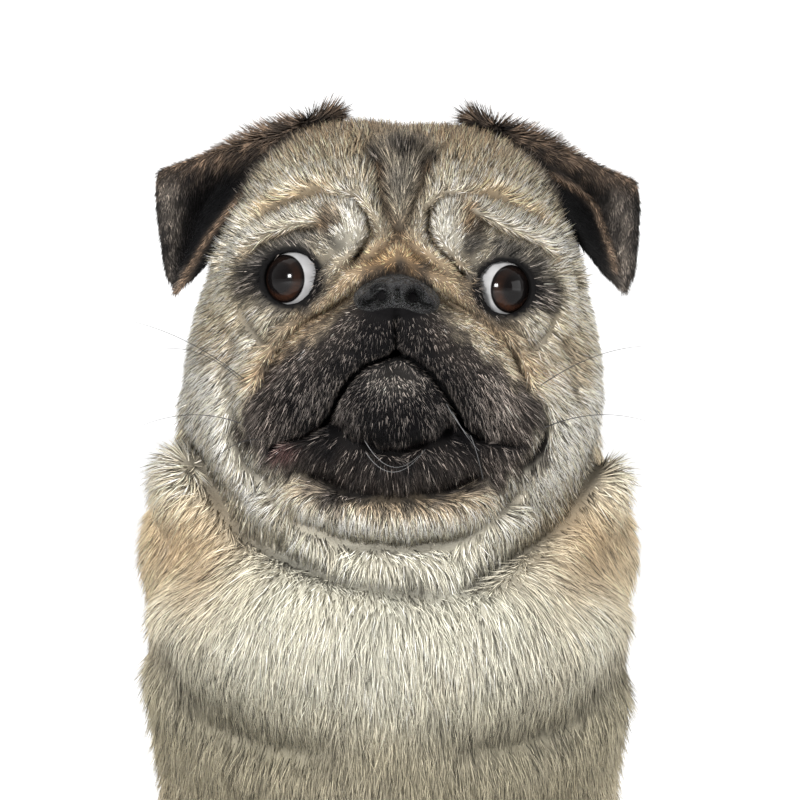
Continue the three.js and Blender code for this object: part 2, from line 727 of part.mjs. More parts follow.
function buildHindpaw() {
  const metatarsus = limb([67, 172, 19], [HINDPAW[0] - 1, 98, 15], 15.5, 14.5);
  const net = surfaceNet(
    blend(8, metatarsus, pawForms(HINDPAW[0], HINDPAW[1])),
    even(HINDPAW[0] - 28, HINDPAW[0] + 31, 6),
    even(HINDPAW[1] - 44, 126, 6.8),
    even(-8, 46, 6.4),
  );
  const foot = boxSolid([-FAR, -FAR, -FAR], [FAR, HOCK_CUT - GAP / 2, 34 - GAP]);
  const paw = solidOf(net).intersect(foot).subtract(floorCut);
  return clawSockets(hindClaws).reduce((a, b) => a.subtract(b), paw);
}

function buildTorso() {
  const step = 17.5;
  const across = mirroredLines(112, () => step);
  const net = surfaceNet(wholeBody, across, even(-110, 290, step), even(-20, 316, step));
  let torso = solidOf(net).subtract(above(COLLAR_CUT, -1)).subtract(floorCut);
  for (const zone of [forelegZone(GAP / 2), hindlegZone(GAP / 2)])
    torso = torso.subtract(zone).subtract(mirrored(zone));
  return torso.subtract(tailSolid(GAP + 0.1));
}

function buildNeck() {
  const across = mirroredLines(114, () => 11);
  const net = surfaceNet(wholeBody, across, even(-116, 104, 11), even(148, 380, 11));
  const neck = solidOf(net).intersect(above(COLLAR_CUT, 1)).subtract(above(JAW_CUT, -1));
  const zone = forelegZone(GAP / 2);
  return neck.subtract(zone).subtract(mirrored(zone));
}

const FAWN = new THREE.MeshStandardMaterial({ color: 0xc9b896, roughness: 0.85, metalness: 0 });
const MASK = new THREE.MeshStandardMaterial({ color: 0x24201e, roughness: 0.8, metalness: 0 });
const NOSE = new THREE.MeshStandardMaterial({ color: 0x151515, roughness: 0.35, metalness: 0 });
const EYE = new THREE.MeshStandardMaterial({ color: 0x1c120d, roughness: 0.05, metalness: 0 });
const CLAW = new THREE.MeshStandardMaterial({ color: 0x2a2622, roughness: 0.4, metalness: 0 });

const pug = new THREE.Group();

function addNode(name, solid, material) {
  const mesh = new THREE.Mesh(withoutShortEdges(geometryOf(solid)), material);
  mesh.name = name;
  pug.add(mesh);
}

const addPair = (nodes, material) => nodes.forEach(([name, solid]) => addNode(name, solid, material));

addNode("head", buildHead(), FAWN);
addNode("nose", intoHead(largest(noseSolid(0))), NOSE);
addNode("neck", largest(buildNeck()), FAWN);
addNode("torso", largest(buildTorso()), FAWN);
addNode("tail", tailSolid(0), FAWN);
addPair(pairOf("foreleg", buildForeleg()), FAWN);
addPair(pairOf("forepaw", buildForepaw()), FAWN);
addPair(pairOf("hindleg", buildHindleg()), FAWN);
addPair(pairOf("hindpaw", buildHindpaw()), FAWN);
for (const [name, ear] of Object.entries(EARS)) {
  addNode(`ear_${name}`, intoHead(earSolid(ear, 0)), MASK);
  addNode(`eye_${name}`, intoHead(ballSolid(eyeCentre(ear.side), EYE_RADIUS, 3)), EYE);
}
frontClaws.forEach((place, i) => addPair(pairOf(`claw_front_${i + 1}`, clawSolid(place, 0)), CLAW));
hindClaws.forEach((place, i) => addPair(pairOf(`claw_hind_${i + 1}`, clawSolid(place, 0)), CLAW));

// The origin is on the floor, under the middle of the dog's length and width.
const middle = new THREE.Box3().setFromObject(pug).getCenter(new THREE.Vector3());
pug.position.set(-middle.x, -middle.y, 0);

export default pug;
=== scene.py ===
# A life-size sitting pug: skin, coat, eyes, nose, ears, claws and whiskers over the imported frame.
# Shapes are worked out in millimetres with +Z up and the dog facing -Y, then moved into the frame in metres.
# Head millimetres start at the skull's centre and lean with the head.
import math
from itertools import product

import bpy
import numpy as np
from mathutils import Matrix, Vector


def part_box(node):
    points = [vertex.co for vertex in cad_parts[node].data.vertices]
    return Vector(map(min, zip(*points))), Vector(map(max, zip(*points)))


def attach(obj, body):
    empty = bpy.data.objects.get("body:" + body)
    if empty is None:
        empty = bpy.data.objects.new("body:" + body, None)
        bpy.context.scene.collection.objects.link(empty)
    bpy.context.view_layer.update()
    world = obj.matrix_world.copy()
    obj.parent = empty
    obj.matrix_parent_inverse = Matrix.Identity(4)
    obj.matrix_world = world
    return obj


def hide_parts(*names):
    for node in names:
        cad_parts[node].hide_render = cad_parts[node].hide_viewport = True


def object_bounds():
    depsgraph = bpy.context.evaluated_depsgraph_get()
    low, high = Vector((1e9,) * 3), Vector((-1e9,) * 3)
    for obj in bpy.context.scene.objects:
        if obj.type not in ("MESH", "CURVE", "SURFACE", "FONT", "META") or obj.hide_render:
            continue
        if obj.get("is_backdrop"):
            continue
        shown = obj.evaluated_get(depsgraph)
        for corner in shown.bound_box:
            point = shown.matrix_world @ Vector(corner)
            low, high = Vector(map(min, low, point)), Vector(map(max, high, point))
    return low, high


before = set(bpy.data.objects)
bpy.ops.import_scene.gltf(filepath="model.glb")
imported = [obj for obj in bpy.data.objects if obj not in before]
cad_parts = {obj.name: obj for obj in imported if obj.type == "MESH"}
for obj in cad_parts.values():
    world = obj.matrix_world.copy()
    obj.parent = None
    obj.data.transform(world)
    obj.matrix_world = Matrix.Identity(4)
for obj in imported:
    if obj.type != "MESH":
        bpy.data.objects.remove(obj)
first_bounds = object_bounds()
rng = np.random.default_rng(7)
F32 = np.float32

# Driving dimensions, the same as those of the solids
HEAD_PLACE = np.array([3.0, -28.0, 326.0])
HEAD_ROLL = math.radians(2.6)
EYE_RADIUS = 11.0
EYE_PLACE = np.array([33.3, -46.0, 6.2])
FOREPAW = (50.0, -26.0)
HINDPAW = (71.0, 74.0)

# The photograph's view: its middle, a pixel and the whole width on the plane of the face, and the camera
PHOTO_MIDDLE = 400
PIXEL = 0.331
PHOTO_WIDTH = 264
CAMERA_PLACE = (4.05, -1388, 293.4)
FACE_DISTANCE = 1300
FACE_PLANE = -60

# Degrees that each eye opening and each eye's gaze turn outwards, and from the gaze to the edge of the iris
EYE_OPENING_TURN = 14
GAZE_TURN = 34
IRIS_EDGE = 46.5

HEAD_HAIRS = (126000, 30000)
BODY_HAIRS = (180000, 16000)
EAR_HAIRS = (20000, 3000)
TAIL_HAIRS = (7500, 2500)
PIECE_HAIRS = 45000


def detail(full, light):
    return full


ROLL = np.array(
    [[math.cos(HEAD_ROLL), 0, math.sin(HEAD_ROLL)], [0, 1, 0], [-math.sin(HEAD_ROLL), 0, math.cos(HEAD_ROLL)]]
)


def from_head(p):
    return np.asarray(p) @ ROLL.T + HEAD_PLACE


def to_head(p):
    return (p - HEAD_PLACE) @ ROLL


# Where the frame has its origin, seen from these millimetres, found from the left eye.
eye_low, eye_high = (np.array(c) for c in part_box("eye_left"))
SHIFT = (eye_low + eye_high) * 500 - from_head(EYE_PLACE)
SHIFT[[0, 2]] = 0


def metres(p):
    return (np.asarray(p, dtype=np.float64) + SHIFT) / 1000


def smooth(x, low, high):
    t = np.clip((x - low) / (high - low), 0, 1)
    return t * t * (3 - 2 * t)


# Fields: negative inside. Each takes an array of points, one a row.
def ellipsoid(centre, radii, turn=(0, 0, 0)):
    ax, ay, az = (math.radians(t) for t in turn)
    rx = np.array([[1, 0, 0], [0, math.cos(ax), -math.sin(ax)], [0, math.sin(ax), math.cos(ax)]])
    ry = np.array([[math.cos(ay), 0, math.sin(ay)], [0, 1, 0], [-math.sin(ay), 0, math.cos(ay)]])
    rz = np.array([[math.cos(az), -math.sin(az), 0], [math.sin(az), math.cos(az), 0], [0, 0, 1]])
    m = (rx @ ry @ rz).astype(F32)
    c = np.array(centre, F32)
    r = np.array(radii, F32)

    def field(p):
        q = ((p - c) @ m) / r
        inner = np.sqrt((q * q).sum(1))
        slope = np.sqrt(((q / r) ** 2).sum(1))
        return inner * (inner - 1) / np.maximum(slope, 1e-6)

    return field


def limb(a, b, ra, rb):
    a = np.array(a, F32)
    ab = np.array(b, F32) - a
    length2 = float(ab @ ab)

    def field(p):
        d = p - a
        t = np.clip((d @ ab) / length2, 0, 1)
        away = d - t[:, None] * ab
        return np.sqrt((away * away).sum(1)) - (ra + t * (rb - ra))

    return field


def soft_min(a, b, k):
    h = np.maximum(k - np.abs(a - b), 0) / k
    return np.minimum(a, b) - h * h * k / 4


def blend(k, *fields):
    def field(p):
        value = fields[0](p)
        for f in fields[1:]:
            value = soft_min(value, f(p), k)
        return value

    return field


def chain(points, radii, k):
    return blend(k, *(limb(a, b, ra, rb) for a, b, ra, rb in zip(points, points[1:], radii, radii[1:])))


def pair(f):
    def field(p):
        q = p.copy()
        q[:, 0] = np.abs(q[:, 0])
        return f(q)

    return field


def head_forms():
    skull = ellipsoid([0, 0, 0], [66, 60, 62])
    crown = pair(ellipsoid([21, -6, 28], [36, 46, 33]))
    cheek = pair(ellipsoid([40, -8, -30], [33, 42, 44]))
    muzzle = pair(limb([8, -57, -12], [37, -42, -34], 14, 18))
    nose_base = ellipsoid([0, -54, 0], [15, 19, 13])
    nose_roll = pair(chain([[0, -65, 15], [16, -62, 9], [31, -54, -4], [43, -43, -20]], [6.5, 6.5, 6, 5], 2))
    brow_pad = pair(ellipsoid([19, -50, 25], [11, 9, 15], [0, -14, 0]))
    brow_band = pair(chain([[15, -46, 41], [33, -44, 36], [51, -36, 25], [60, -26, 11]], [6, 6, 6, 5], 2))
    forehead = limb([0, -52, 21], [0, -36, 44], 9, 14)
    orbit = pair(ellipsoid([38, -38, 5], [21, 17, 20]))
    chin = ellipsoid([0, -52, -35], [20, 19, 17])
    lower_lip = pair(limb([0, -49, -54], [36, -38, -50], 13, 11))
    chin_fold = ellipsoid([0, -32, -68], [44, 31, 16])
    jowl = pair(limb([20, -34, -74], [58, -14, -38], 14, 15))
    base = blend(14, skull, crown, cheek, orbit)
    throat = blend(6, chin_fold, jowl, lower_lip)
    face = blend(4, base, nose_base, nose_roll, brow_pad, brow_band, forehead)
    return blend(3.5, face, throat, muzzle, chin)


def neck_forms():
    neck = ellipsoid([0, 2, 284], [76, 60, 52])
    fold = pair(limb([0, -62, 236], [64, -26, 262], 18, 20))
    ruff = ellipsoid([0, 8, 240], [90, 72, 58])
    return blend(8, blend(16, neck, ruff), fold)


def trunk_forms():
    forechest = ellipsoid([0, -30, 216], [84, 56, 42])
    ribs = limb([0, 12, 205], [0, 105, 150], 80, 76)
    loin = limb([0, 105, 150], [0, 170, 92], 76, 68)
    rump = ellipsoid([0, 195, 72], [66, 60, 74])
    return blend(14, blend(30, ribs, loin, rump), forechest)


def paw_forms(x, y):
    toes = [
        ellipsoid([x + dx, y + dy, 9.5], [5.9, 11, 9.3])
        for dx, dy in ((-12.2, -19), (-4.3, -24), (4.3, -24), (12.2, -19))
    ]
    return blend(2.5, ellipsoid([x, y, 13], [18, 26, 15]), *toes)


def foreleg_forms():
    upper = limb([59, -18, 203], [60, 34, 143], 28, 23)
    forearm = limb([59, 30, 143], [51, -6, 46], 21, 14.5)
    pastern = limb([51, -6, 46], [FOREPAW[0], -14, 22], 14.5, 14)
    return blend(8, blend(10, upper, forearm, pastern), paw_forms(*FOREPAW))


def hindleg_forms():
    haunch = ellipsoid([58, 152, 80], [34, 68, 64], [-14, 0, 0])
    thigh = limb([60, 140, 92], [68, 86, 80], 38, 27)
    shank = limb([69, 86, 70], [67, 168, 28], 24, 16)
    metatarsus = limb([67, 172, 19], [HINDPAW[0] - 1, 98, 15], 15.5, 14.5)
    return blend(8, blend(16, haunch, thigh, shank), metatarsus, paw_forms(*HINDPAW))


head_local = head_forms()
neck_field = neck_forms()
trunk_field = trunk_forms()
upper_body = blend(12, trunk_field, neck_field)
foreleg = pair(foreleg_forms())
hindleg = pair(hindleg_forms())


def body_field(p):
    """The whole outline of the solids. Far parts are left out, which doesn't change the surface."""
    p = p.astype(F32)
    value = upper_body(p)
    high = p[:, 2] > 205
    if high.any():
        value[high] = soft_min(value[high], head_local(to_head(p[high]).astype(F32)), 7)
    low = p[:, 2] < 262
    if low.any():
        value[low] = soft_min(soft_min(value[low], foreleg(p[low]), 10), hindleg(p[low]), 10)
    return value


# Lines on the face, placed by the photograph
def line_distance(p, points):
    """Distance from each point to the line, and how far along the line it is, 0 to 1."""
    best = np.full(len(p), 1e9)
    where = np.zeros(len(p))
    steps = len(points) - 1
    for i in range(steps):
        a = points[i]
        ab = points[i + 1] - a
        t = np.clip(((p - a) @ ab) / (ab @ ab), 0, 1)
        away = np.linalg.norm(p - a - t[:, None] * ab, axis=1)
        near = away < best
        best[near] = away[near]
        where[near] = (i + t[near]) / steps
    return best, where


def front(px, py):
    """Head x and z of a place in the photograph, on the plane of the face."""
    x = (px - PHOTO_MIDDLE) * PIXEL + CAMERA_PLACE[0] - HEAD_PLACE[0]
    z = CAMERA_PLACE[2] - (py - PHOTO_MIDDLE) * PIXEL - HEAD_PLACE[2]
    c, s = math.cos(HEAD_ROLL), math.sin(HEAD_ROLL)
    return x * c - z * s, x * s + z * c


def photo_line(points):
    return np.array([front(*p) for p in points])


# Each fold: its line in the photograph, half-width and depth in millimetres.
FOLDS = [
    # medial creases of the brow pads
    ([(325, 195), (355, 200), (367, 217), (372, 235), (363, 252), (347, 266)], 1.3, 2.6),
    ([(475, 197), (445, 197), (430, 212), (429, 232), (438, 250), (458, 270), (472, 285)], 1.3, 2.6),
    # under the pale brow bands
    ([(325, 228), (295, 230), (268, 240), (245, 258)], 1.7, 2.4),
    ([(465, 212), (500, 232), (537, 245), (556, 262)], 1.7, 2.4),
    # over the brow bands
    ([(325, 190), (290, 200), (262, 213)], 2.2, 1.4),
    ([(480, 192), (515, 205), (545, 220)], 2.2, 1.4),
    # crease over the nose roll, down past the eye's inner corner
    ([(397, 240), (375, 258), (345, 268), (322, 292), (300, 315), (275, 325), (262, 345)], 1.9, 2.2),
    ([(397, 240), (425, 262), (455, 278), (478, 305), (500, 322), (522, 335), (532, 355)], 1.9, 2.2),
    # between the nose roll and the muzzle
    ([(356, 296), (330, 310), (307, 322), (285, 340), (270, 368), (255, 398)], 1.8, 2.4),
    ([(440, 296), (465, 310), (487, 325), (508, 345), (521, 372), (532, 400)], 1.8, 2.4),
    # under the eyes
    ([(240, 300), (252, 325), (268, 345)], 2.0, 1.5),
    ([(558, 305), (545, 330), (530, 350)], 2.0, 1.5),
    # forehead
    ([(379, 172), (383, 200), (392, 225), (400, 238)], 1.8, 1.7),
    ([(425, 170), (416, 200), (407, 225), (400, 238)], 1.8, 1.3),
    ([(345, 160), (365, 150), (380, 168)], 2.4, 1.1),
    # cheeks
    ([(238, 330), (228, 365), (225, 400)], 2.6, 1.6),
    ([(560, 330), (572, 365), (575, 400)], 2.6, 1.6),
    # edge of the flews
    ([(236, 400), (232, 435), (245, 462), (262, 480)], 2.4, 2.4),
    ([(540, 395), (546, 425), (540, 452), (520, 472)], 2.4, 2.4),
    # fold under the chin
    ([(360, 440), (380, 451), (402, 452), (430, 440)], 1.8, 2.6),
    ([(300, 470), (350, 492), (395, 498), (445, 492), (495, 468)], 2.6, 2.4),
    # muzzle wrinkles
    ([(340, 345), (358, 352), (376, 350), (390, 338)], 1.4, 0.5),
    ([(403, 338), (418, 350), (438, 352), (456, 345)], 1.4, 0.5),
]
# The mouth runs from its middle to each corner
MOUTH = [
    [
        (396, 352), (388, 357), (365, 366), (350, 380), (340, 395),
        (332, 410), (322, 425), (307, 435), (282, 440), (268, 452),
    ],
    [
        (396, 352), (412, 360), (430, 373), (444, 390), (455, 408),
        (464, 425), (477, 437), (500, 441), (522, 443),
    ],
]
PHILTRUM = [(397, 304), (396, 352)]
# Folds below the jaw, on the neck and chest
NECK_FOLDS = [
    ([(186, 425), (210, 478), (246, 528), (300, 560), (350, 578), (400, 586), (450, 590)], 4.2, 5.0),
    ([(604, 412), (592, 465), (565, 508), (520, 545), (485, 575), (450, 590)], 4.2, 5.0),
    ([(262, 480), (300, 515), (350, 540), (400, 546), (450, 538), (500, 505), (530, 475)], 3.4, 3.2),
    ([(150, 610), (178, 672), (215, 712), (275, 738), (345, 748)], 5.5, 3.4),
    ([(638, 610), (608, 668), (575, 705), (515, 733), (445, 746)], 5.5, 3.4),
]
FOLD_LINES = [(photo_line(points), width, depth) for points, width, depth in FOLDS]
NECK_LINES = [(photo_line(points), width, depth) for points, width, depth in NECK_FOLDS]
MOUTH_LINES = [photo_line(points) for points in MOUTH]
PHILTRUM_LINE = photo_line(PHILTRUM)


def face_part(h):
    """1 on the front of the face, 0 on the sides and back of the head."""
    return smooth(-h[:, 1], -2, 18)


def folds(flat, lines):
    """How far the lines sink the surface. Beside each groove it swells a little."""
    sunk = np.zeros(len(flat))
    for line, width, depth in lines:
        d, t = line_distance(flat, line)
        ends = smooth(t, -0.05, 0.15) * smooth(1 - t, -0.05, 0.15)
        sunk += depth * ends * np.exp(-((d / width) ** 2))
        sunk -= 0.3 * depth * ends * np.exp(-(((d - 2.4 * width) / (1.5 * width)) ** 2))
    return sunk


def neck_relief(h):
    """The same for the folds below the jaw. The farther back the surface, the more the camera shrinks it."""
    shrink = FACE_DISTANCE / (FACE_DISTANCE + h[:, 1] - FACE_PLANE)
    return folds(h[:, [0, 2]] * shrink[:, None], NECK_LINES) * smooth(-h[:, 1], -34, -6)


def face_relief(h):
    """The same for the face, with the line of the mouth and the groove above it."""
    flat = h[:, [0, 2]]
    sunk = folds(flat, FOLD_LINES)
    for line in MOUTH_LINES:
        d, t = line_distance(flat, line)
        sunk += 5.2 * np.exp(-((d / 1.25) ** 2)) * smooth(1 - t, -0.02, 0.08)
    d, _ = line_distance(flat, PHILTRUM_LINE)
    sunk += 2.2 * np.exp(-((d / 0.9) ** 2))
    return sunk * face_part(h)


def fold_depths(h):
    """How far the folds of the face and those of the neck sink the surface, as two arrays."""
    on_face = (h[:, 1] < 6) & (h[:, 2] > -85)
    below = (h[:, 1] < 36) & (h[:, 2] < -25)
    face, neck = np.zeros(len(h)), np.zeros(len(h))
    face[on_face] = face_relief(h[on_face])
    neck[below] = neck_relief(h[below])
    return face, neck


# Coat: where the head's coat begins, how long the hair is, and how deep the skin lies under the outline
def head_share(p):
    """1 on the head, 0 on the body, across a slanting plane through the neck."""
    return smooth(-0.463 * (p[:, 1] + 90) + 0.886 * (p[:, 2] - 232), -10, 22)


def hair_length(p, h):
    away = np.linalg.norm((h - [0, -66, -6]) * [1, 0.8, 1], axis=1)
    face = 2.6 + 3.4 * smooth(away, 22, 58) + 4.0 * smooth(away, 55, 105)
    body = np.full(len(p), 11.0)
    body -= 3.0 * smooth(p[:, 1], 60, 160)
    leg = smooth(-p[:, 2], -140, -70)
    body = body * (1 - leg) + (5.0 + 3.5 * smooth(p[:, 2], 20, 70)) * leg
    share = head_share(p)
    return body * (1 - share) + face * share


def coat_depth(p, h):
    return np.clip(0.36 * hair_length(p, h) - 0.1, 0.8, 4.4)


def from_eye(h, side):
    """Points seen from an eye's centre: as they are, then along and across the way its opening faces."""
    d = h - EYE_PLACE * [side, 1, 1]
    turn = math.radians(EYE_OPENING_TURN) * side
    out = np.array([math.sin(turn), -math.cos(turn), 0])
    along = d @ out
    return d, along, d - along[:, None] * out


def skin_field(p):
    """The outline, sunk by the coat and the folds, with a lid round each eyeball and the feet cut level."""
    value = body_field(p).astype(np.float64)
    near = np.abs(value) < 12
    q = p[near].astype(np.float64)
    h = to_head(q)
    here = value[near] + coat_depth(q, h)
    here += sum(fold_depths(h))
    for side in (1, -1):
        d, along, across = from_eye(h, side)
        ball = np.linalg.norm(d, axis=1)
        here = soft_min(here, ball - (EYE_RADIUS + 1.7), 3.0)
        u = across[:, 0] / 9.1
        w = across[:, 2] / 8.8
        slit = np.sqrt(u * u + w * w + (across[:, 1] / 9.1) ** 2)
        hole = np.where(along > 0, (slit - 1) * 9.0, 9.0)
        here = np.maximum(here, -np.minimum(hole, 4))
        here = np.maximum(here, -(ball - (EYE_RADIUS - 0.4)))
    value[near] = here
    return np.maximum(value, 0.5 - p[:, 2])


# Meshes
def lines_between(low, high, step_at):
    """Grid lines from low to past high, in a number of steps that 4 divides."""
    lines = [low]
    while lines[-1] < high or (len(lines) - 1) % 4:
        lines.append(lines[-1] + step_at(lines[-1]))
    return np.array(lines)


CELL_CORNERS = list(product((0, 1), repeat=3))


def at_corner(grid, corner):
    """The part of a grid that holds this corner of every cell."""
    return grid[tuple(slice(c, n - 1 + c) for c, n in zip(corner, grid.shape))]


def values_near(field, lines, reach):
    """The field at the grid's points, worked out in full only in blocks of cells near the surface."""
    coarse = [line[::4] for line in lines]
    grid = np.stack(np.meshgrid(*coarse, indexing="ij"), -1)
    c = field(grid.reshape(-1, 3)).reshape(grid.shape[:3])
    widths = np.meshgrid(*(np.diff(line) for line in coarse), indexing="ij", sparse=True)
    span = np.sqrt(sum(width**2 for width in widths))
    corners = [at_corner(c, corner) for corner in CELL_CORNERS]
    low, high = np.minimum.reduce(corners), np.maximum.reduce(corners)
    active = (low < 0.6 * span + reach) & (high > -0.6 * span - reach)
    cells = np.repeat(np.repeat(np.repeat(active, 4, 0), 4, 1), 4, 2)
    mask = np.zeros([len(line) for line in lines], bool)
    for corner in CELL_CORNERS:
        part = at_corner(mask, corner)
        part |= cells
    near = [np.abs(line[:, None] - rough[None]).argmin(1) for line, rough in zip(lines, coarse)]
    values = c[np.ix_(*near)].astype(F32)
    at = np.nonzero(mask)
    points = np.stack([line[i] for line, i in zip(lines, at)], 1)
    for start in range(0, len(points), 200000):
        part = slice(start, start + 200000)
        values[at[0][part], at[1][part], at[2][part]] = field(points[part])
    return values


def surface_net(field, xs, ys, zs, reach=5.0):
    """The field's surface: a vertex in each cell that it crosses and a quad round each crossed edge."""
    lines = (xs, ys, zs)
    values = values_near(field, lines, reach)
    inside = values < 0
    count = sum(at_corner(inside, corner).astype(np.uint8) for corner in CELL_CORNERS)
    cell = np.nonzero((count > 0) & (count < 8))
    cell_id = np.full(count.shape, -1, np.int64)
    cell_id[cell] = np.arange(len(cell[0]))
    total = np.zeros((len(cell[0]), 3))
    crossings = np.zeros(len(cell[0]))
    for axis, i, j in product(range(3), (0, 1), (0, 1)):
        a = [0, 0, 0]
        a[(axis + 1) % 3] = i
        a[(axis + 2) % 3] = j
        b = list(a)
        b[axis] = 1
        ia = tuple(cell[n] + a[n] for n in range(3))
        ib = tuple(cell[n] + b[n] for n in range(3))
        va, vb = values[ia], values[ib]
        cross = (va < 0) != (vb < 0)
        t = np.where(cross, va / np.where(cross, va - vb, 1), 0)
        pa = np.stack([lines[n][ia[n]] for n in range(3)], 1)
        pb = np.stack([lines[n][ib[n]] for n in range(3)], 1)
        total += np.where(cross[:, None], pa + t[:, None] * (pb - pa), 0)
        crossings += cross
    quads = []
    for axis in range(3):
        one, two = (axis + 1) % 3, (axis + 2) % 3
        first = [slice(0, -1) if n == axis else slice(1, -1) for n in range(3)]
        second = [slice(1, None) if n == axis else slice(1, -1) for n in range(3)]
        starts_inside = inside[tuple(first)]
        edge = np.nonzero(starts_inside != inside[tuple(second)])
        base = [edge[n] + (n != axis) for n in range(3)]
        ring = []
        for d1, d2 in ((-1, -1), (0, -1), (0, 0), (-1, 0)):
            beside = list(base)
            beside[one] = base[one] + d1
            beside[two] = base[two] + d2
            ring.append(cell_id[tuple(beside)])
        ring = np.stack(ring, 1)
        flip = ~starts_inside[edge]
        ring[flip] = ring[flip][:, ::-1]
        quads.append(ring)
    return total / crossings[:, None], np.concatenate(quads)


def onto_surface(field, p, rounds=2, probe=0.25):
    """The points, moved along the field's slope until they lie on its surface."""
    for _ in range(rounds):
        slope = np.empty_like(p)
        for axis in range(3):
            step = np.zeros(3)
            step[axis] = probe
            slope[:, axis] = (field(p + step) - field(p - step)) / (2 * probe)
        steep = np.maximum((slope * slope).sum(1), 0.3)
        move = (field(p) / steep)[:, None] * slope
        size = np.linalg.norm(move, axis=1, keepdims=True)
        p = p - move * np.minimum(1, 1.0 / np.maximum(size, 1e-9))
    return p


def unit(v):
    return v / np.maximum(np.linalg.norm(v, axis=-1, keepdims=True), 1e-9)


def along_skin(ways, normals):
    """The ways without what points into or out of the skin, made one long."""
    return unit(ways - (ways * normals).sum(1, keepdims=True) * normals)


def split_quads(quads):
    return np.concatenate([quads[:, [0, 1, 2]], quads[:, [0, 2, 3]]])


def ring_quads(grid):
    """Quads between the rows of a grid of vertex numbers, where each row is a closed ring."""
    after = np.roll(grid, -1, 1)
    return np.stack([grid[:-1], after[:-1], after[1:], grid[1:]], -1).reshape(-1, 4)


def closed_tube(grid):
    """Triangles of such a grid, with a fan at each end to the two vertices that are numbered after it."""
    sides = split_quads(ring_quads(grid))[:, [0, 2, 1]]
    after = np.roll(grid, -1, 1)
    low = np.stack([grid[0], after[0], np.full(len(grid[0]), grid.size)], -1)
    high = np.stack([after[-1], grid[-1], np.full(len(grid[0]), grid.size + 1)], -1)
    return np.concatenate([sides, low, high])


def facing_out(points, tris):
    """The triangles of a closed surface, turned over if they face inwards."""
    x = points[tris]
    volume = (x[:, 0] * np.cross(x[:, 1], x[:, 2])).sum()
    return tris[:, ::-1] if volume < 0 else tris


def make_mesh(name, vertices, faces):
    """A smooth mesh object from points in millimetres."""
    mesh = bpy.data.meshes.new(name)
    faces = np.asarray(faces)
    side = faces.shape[1]
    mesh.vertices.add(len(vertices))
    mesh.vertices.foreach_set("co", metres(vertices).astype(F32).ravel())
    mesh.loops.add(faces.size)
    mesh.loops.foreach_set("vertex_index", faces.astype(np.int32).ravel())
    mesh.polygons.add(len(faces))
    mesh.polygons.foreach_set("loop_start", np.arange(0, faces.size, side, dtype=np.int32))
    mesh.polygons.foreach_set("use_smooth", np.full(len(faces), True))
    mesh.update(calc_edges=True)
    obj = bpy.data.objects.new(name, mesh)
    bpy.context.scene.collection.objects.link(obj)
    return obj


def set_colour(obj, srgb):
    """Point colours from values of 0 to 1 as they look on a screen."""
    srgb = np.clip(srgb, 0, 1)
    linear = np.where(srgb <= 0.04045, srgb / 12.92, ((srgb + 0.055) / 1.055) ** 2.4)
    rgba = np.ones((len(srgb), 4), F32)
    rgba[:, :3] = linear
    layer = obj.data.color_attributes.new("Col", "FLOAT_COLOR", "POINT")
    layer.data.foreach_set("color", rgba.ravel())


def vertex_normals(obj):
    values = np.empty(len(obj.data.vertices) * 3, F32)
    obj.data.vertex_normals.foreach_get("vector", values)
    return values.reshape(-1, 3).astype(float)


def unwrap(obj):
    """The shape's own unwrap, as one place for each face corner."""
    bpy.context.view_layer.objects.active = obj
    obj.select_set(True)
    bpy.ops.object.mode_set(mode="EDIT")
    bpy.ops.mesh.select_all(action="SELECT")
    bpy.ops.uv.smart_project(angle_limit=1.15, island_margin=0.002)
    bpy.ops.object.mode_set(mode="OBJECT")
    obj.select_set(False)
    layer = obj.data.uv_layers.active
    uv = np.empty(len(obj.data.loops) * 2, F32)
    layer.data.foreach_get("uv", uv)
    layer.name = "OFBake"
    return uv.reshape(-1, 2)


# Colours as they look on a screen, 0 to 255
PALE = np.array([226, 220, 203.0])
ASH = np.array([176, 181, 172.0])
FAWN = np.array([212, 198, 171.0])
TAN = np.array([176, 143, 103.0])
ROLL_TAN = np.array([192, 161, 126.0])
# painted shade of the upper forelegs under the chest
FORELEG_SHADE = np.array([142, 136, 116.0])
BROWN = np.array([112, 88, 64.0])
GREY = np.array([96, 92, 86.0])
MASK_BROWN = np.array([66, 58, 53.0])
LIP_PINK = np.array([92, 66, 64.0])
BLACK = np.array([11, 10, 11.0])
EYE_WHITE = np.array([143, 142, 142.0])
EYE_PINK = np.array([150, 120, 114.0])
EYE_BROWN = np.array([44, 27, 19.0])
EYE_BLACK = np.array([11, 9, 9.0])
# Ears: brown fur that also gives a painted highlight on the rim, painted shade in the hollow, and black fur
# with painted shade in the band beside the head
EAR_BROWN_AND_RIM_HIGHLIGHT = np.array([112, 94, 78.0])
EAR_GREY = np.array([106, 98, 90.0])
EAR_BLACK = np.array([17, 16, 16.0])
EAR_HOLLOW_SHADE = np.array([9, 9, 10.0])
EAR_BAND_FUR_AND_SHADE = np.array([11, 11, 11.0])

# Marks on the face, placed by the photograph: lines, each with its left and right one
STROKES = {
    "nose_roll": [
        [(262, 372), (285, 345), (312, 318), (345, 288), (372, 264), (397, 256)],
        [(532, 372), (510, 345), (486, 318), (452, 288), (425, 266), (397, 256)],
    ],
    "brow_bands": [
        [(345, 203), (300, 210), (262, 224), (235, 246)],
        [(455, 203), (500, 213), (535, 226), (560, 250)],
    ],
    "shade_over_brow_bands": [
        [(325, 190), (290, 200), (262, 213)],
        [(480, 190), (515, 205), (545, 220)],
    ],
    "frown_crease_shade": [
        [(379, 175), (388, 212), (399, 236)],
        [(424, 175), (413, 210), (401, 236)],
    ],
    "upper_lids": [
        [(258, 262), (285, 247), (318, 240)],
        [(478, 243), (508, 251), (538, 266)],
    ],
}
STROKES = {name: [photo_line(line) for line in lines] for name, lines in STROKES.items()}

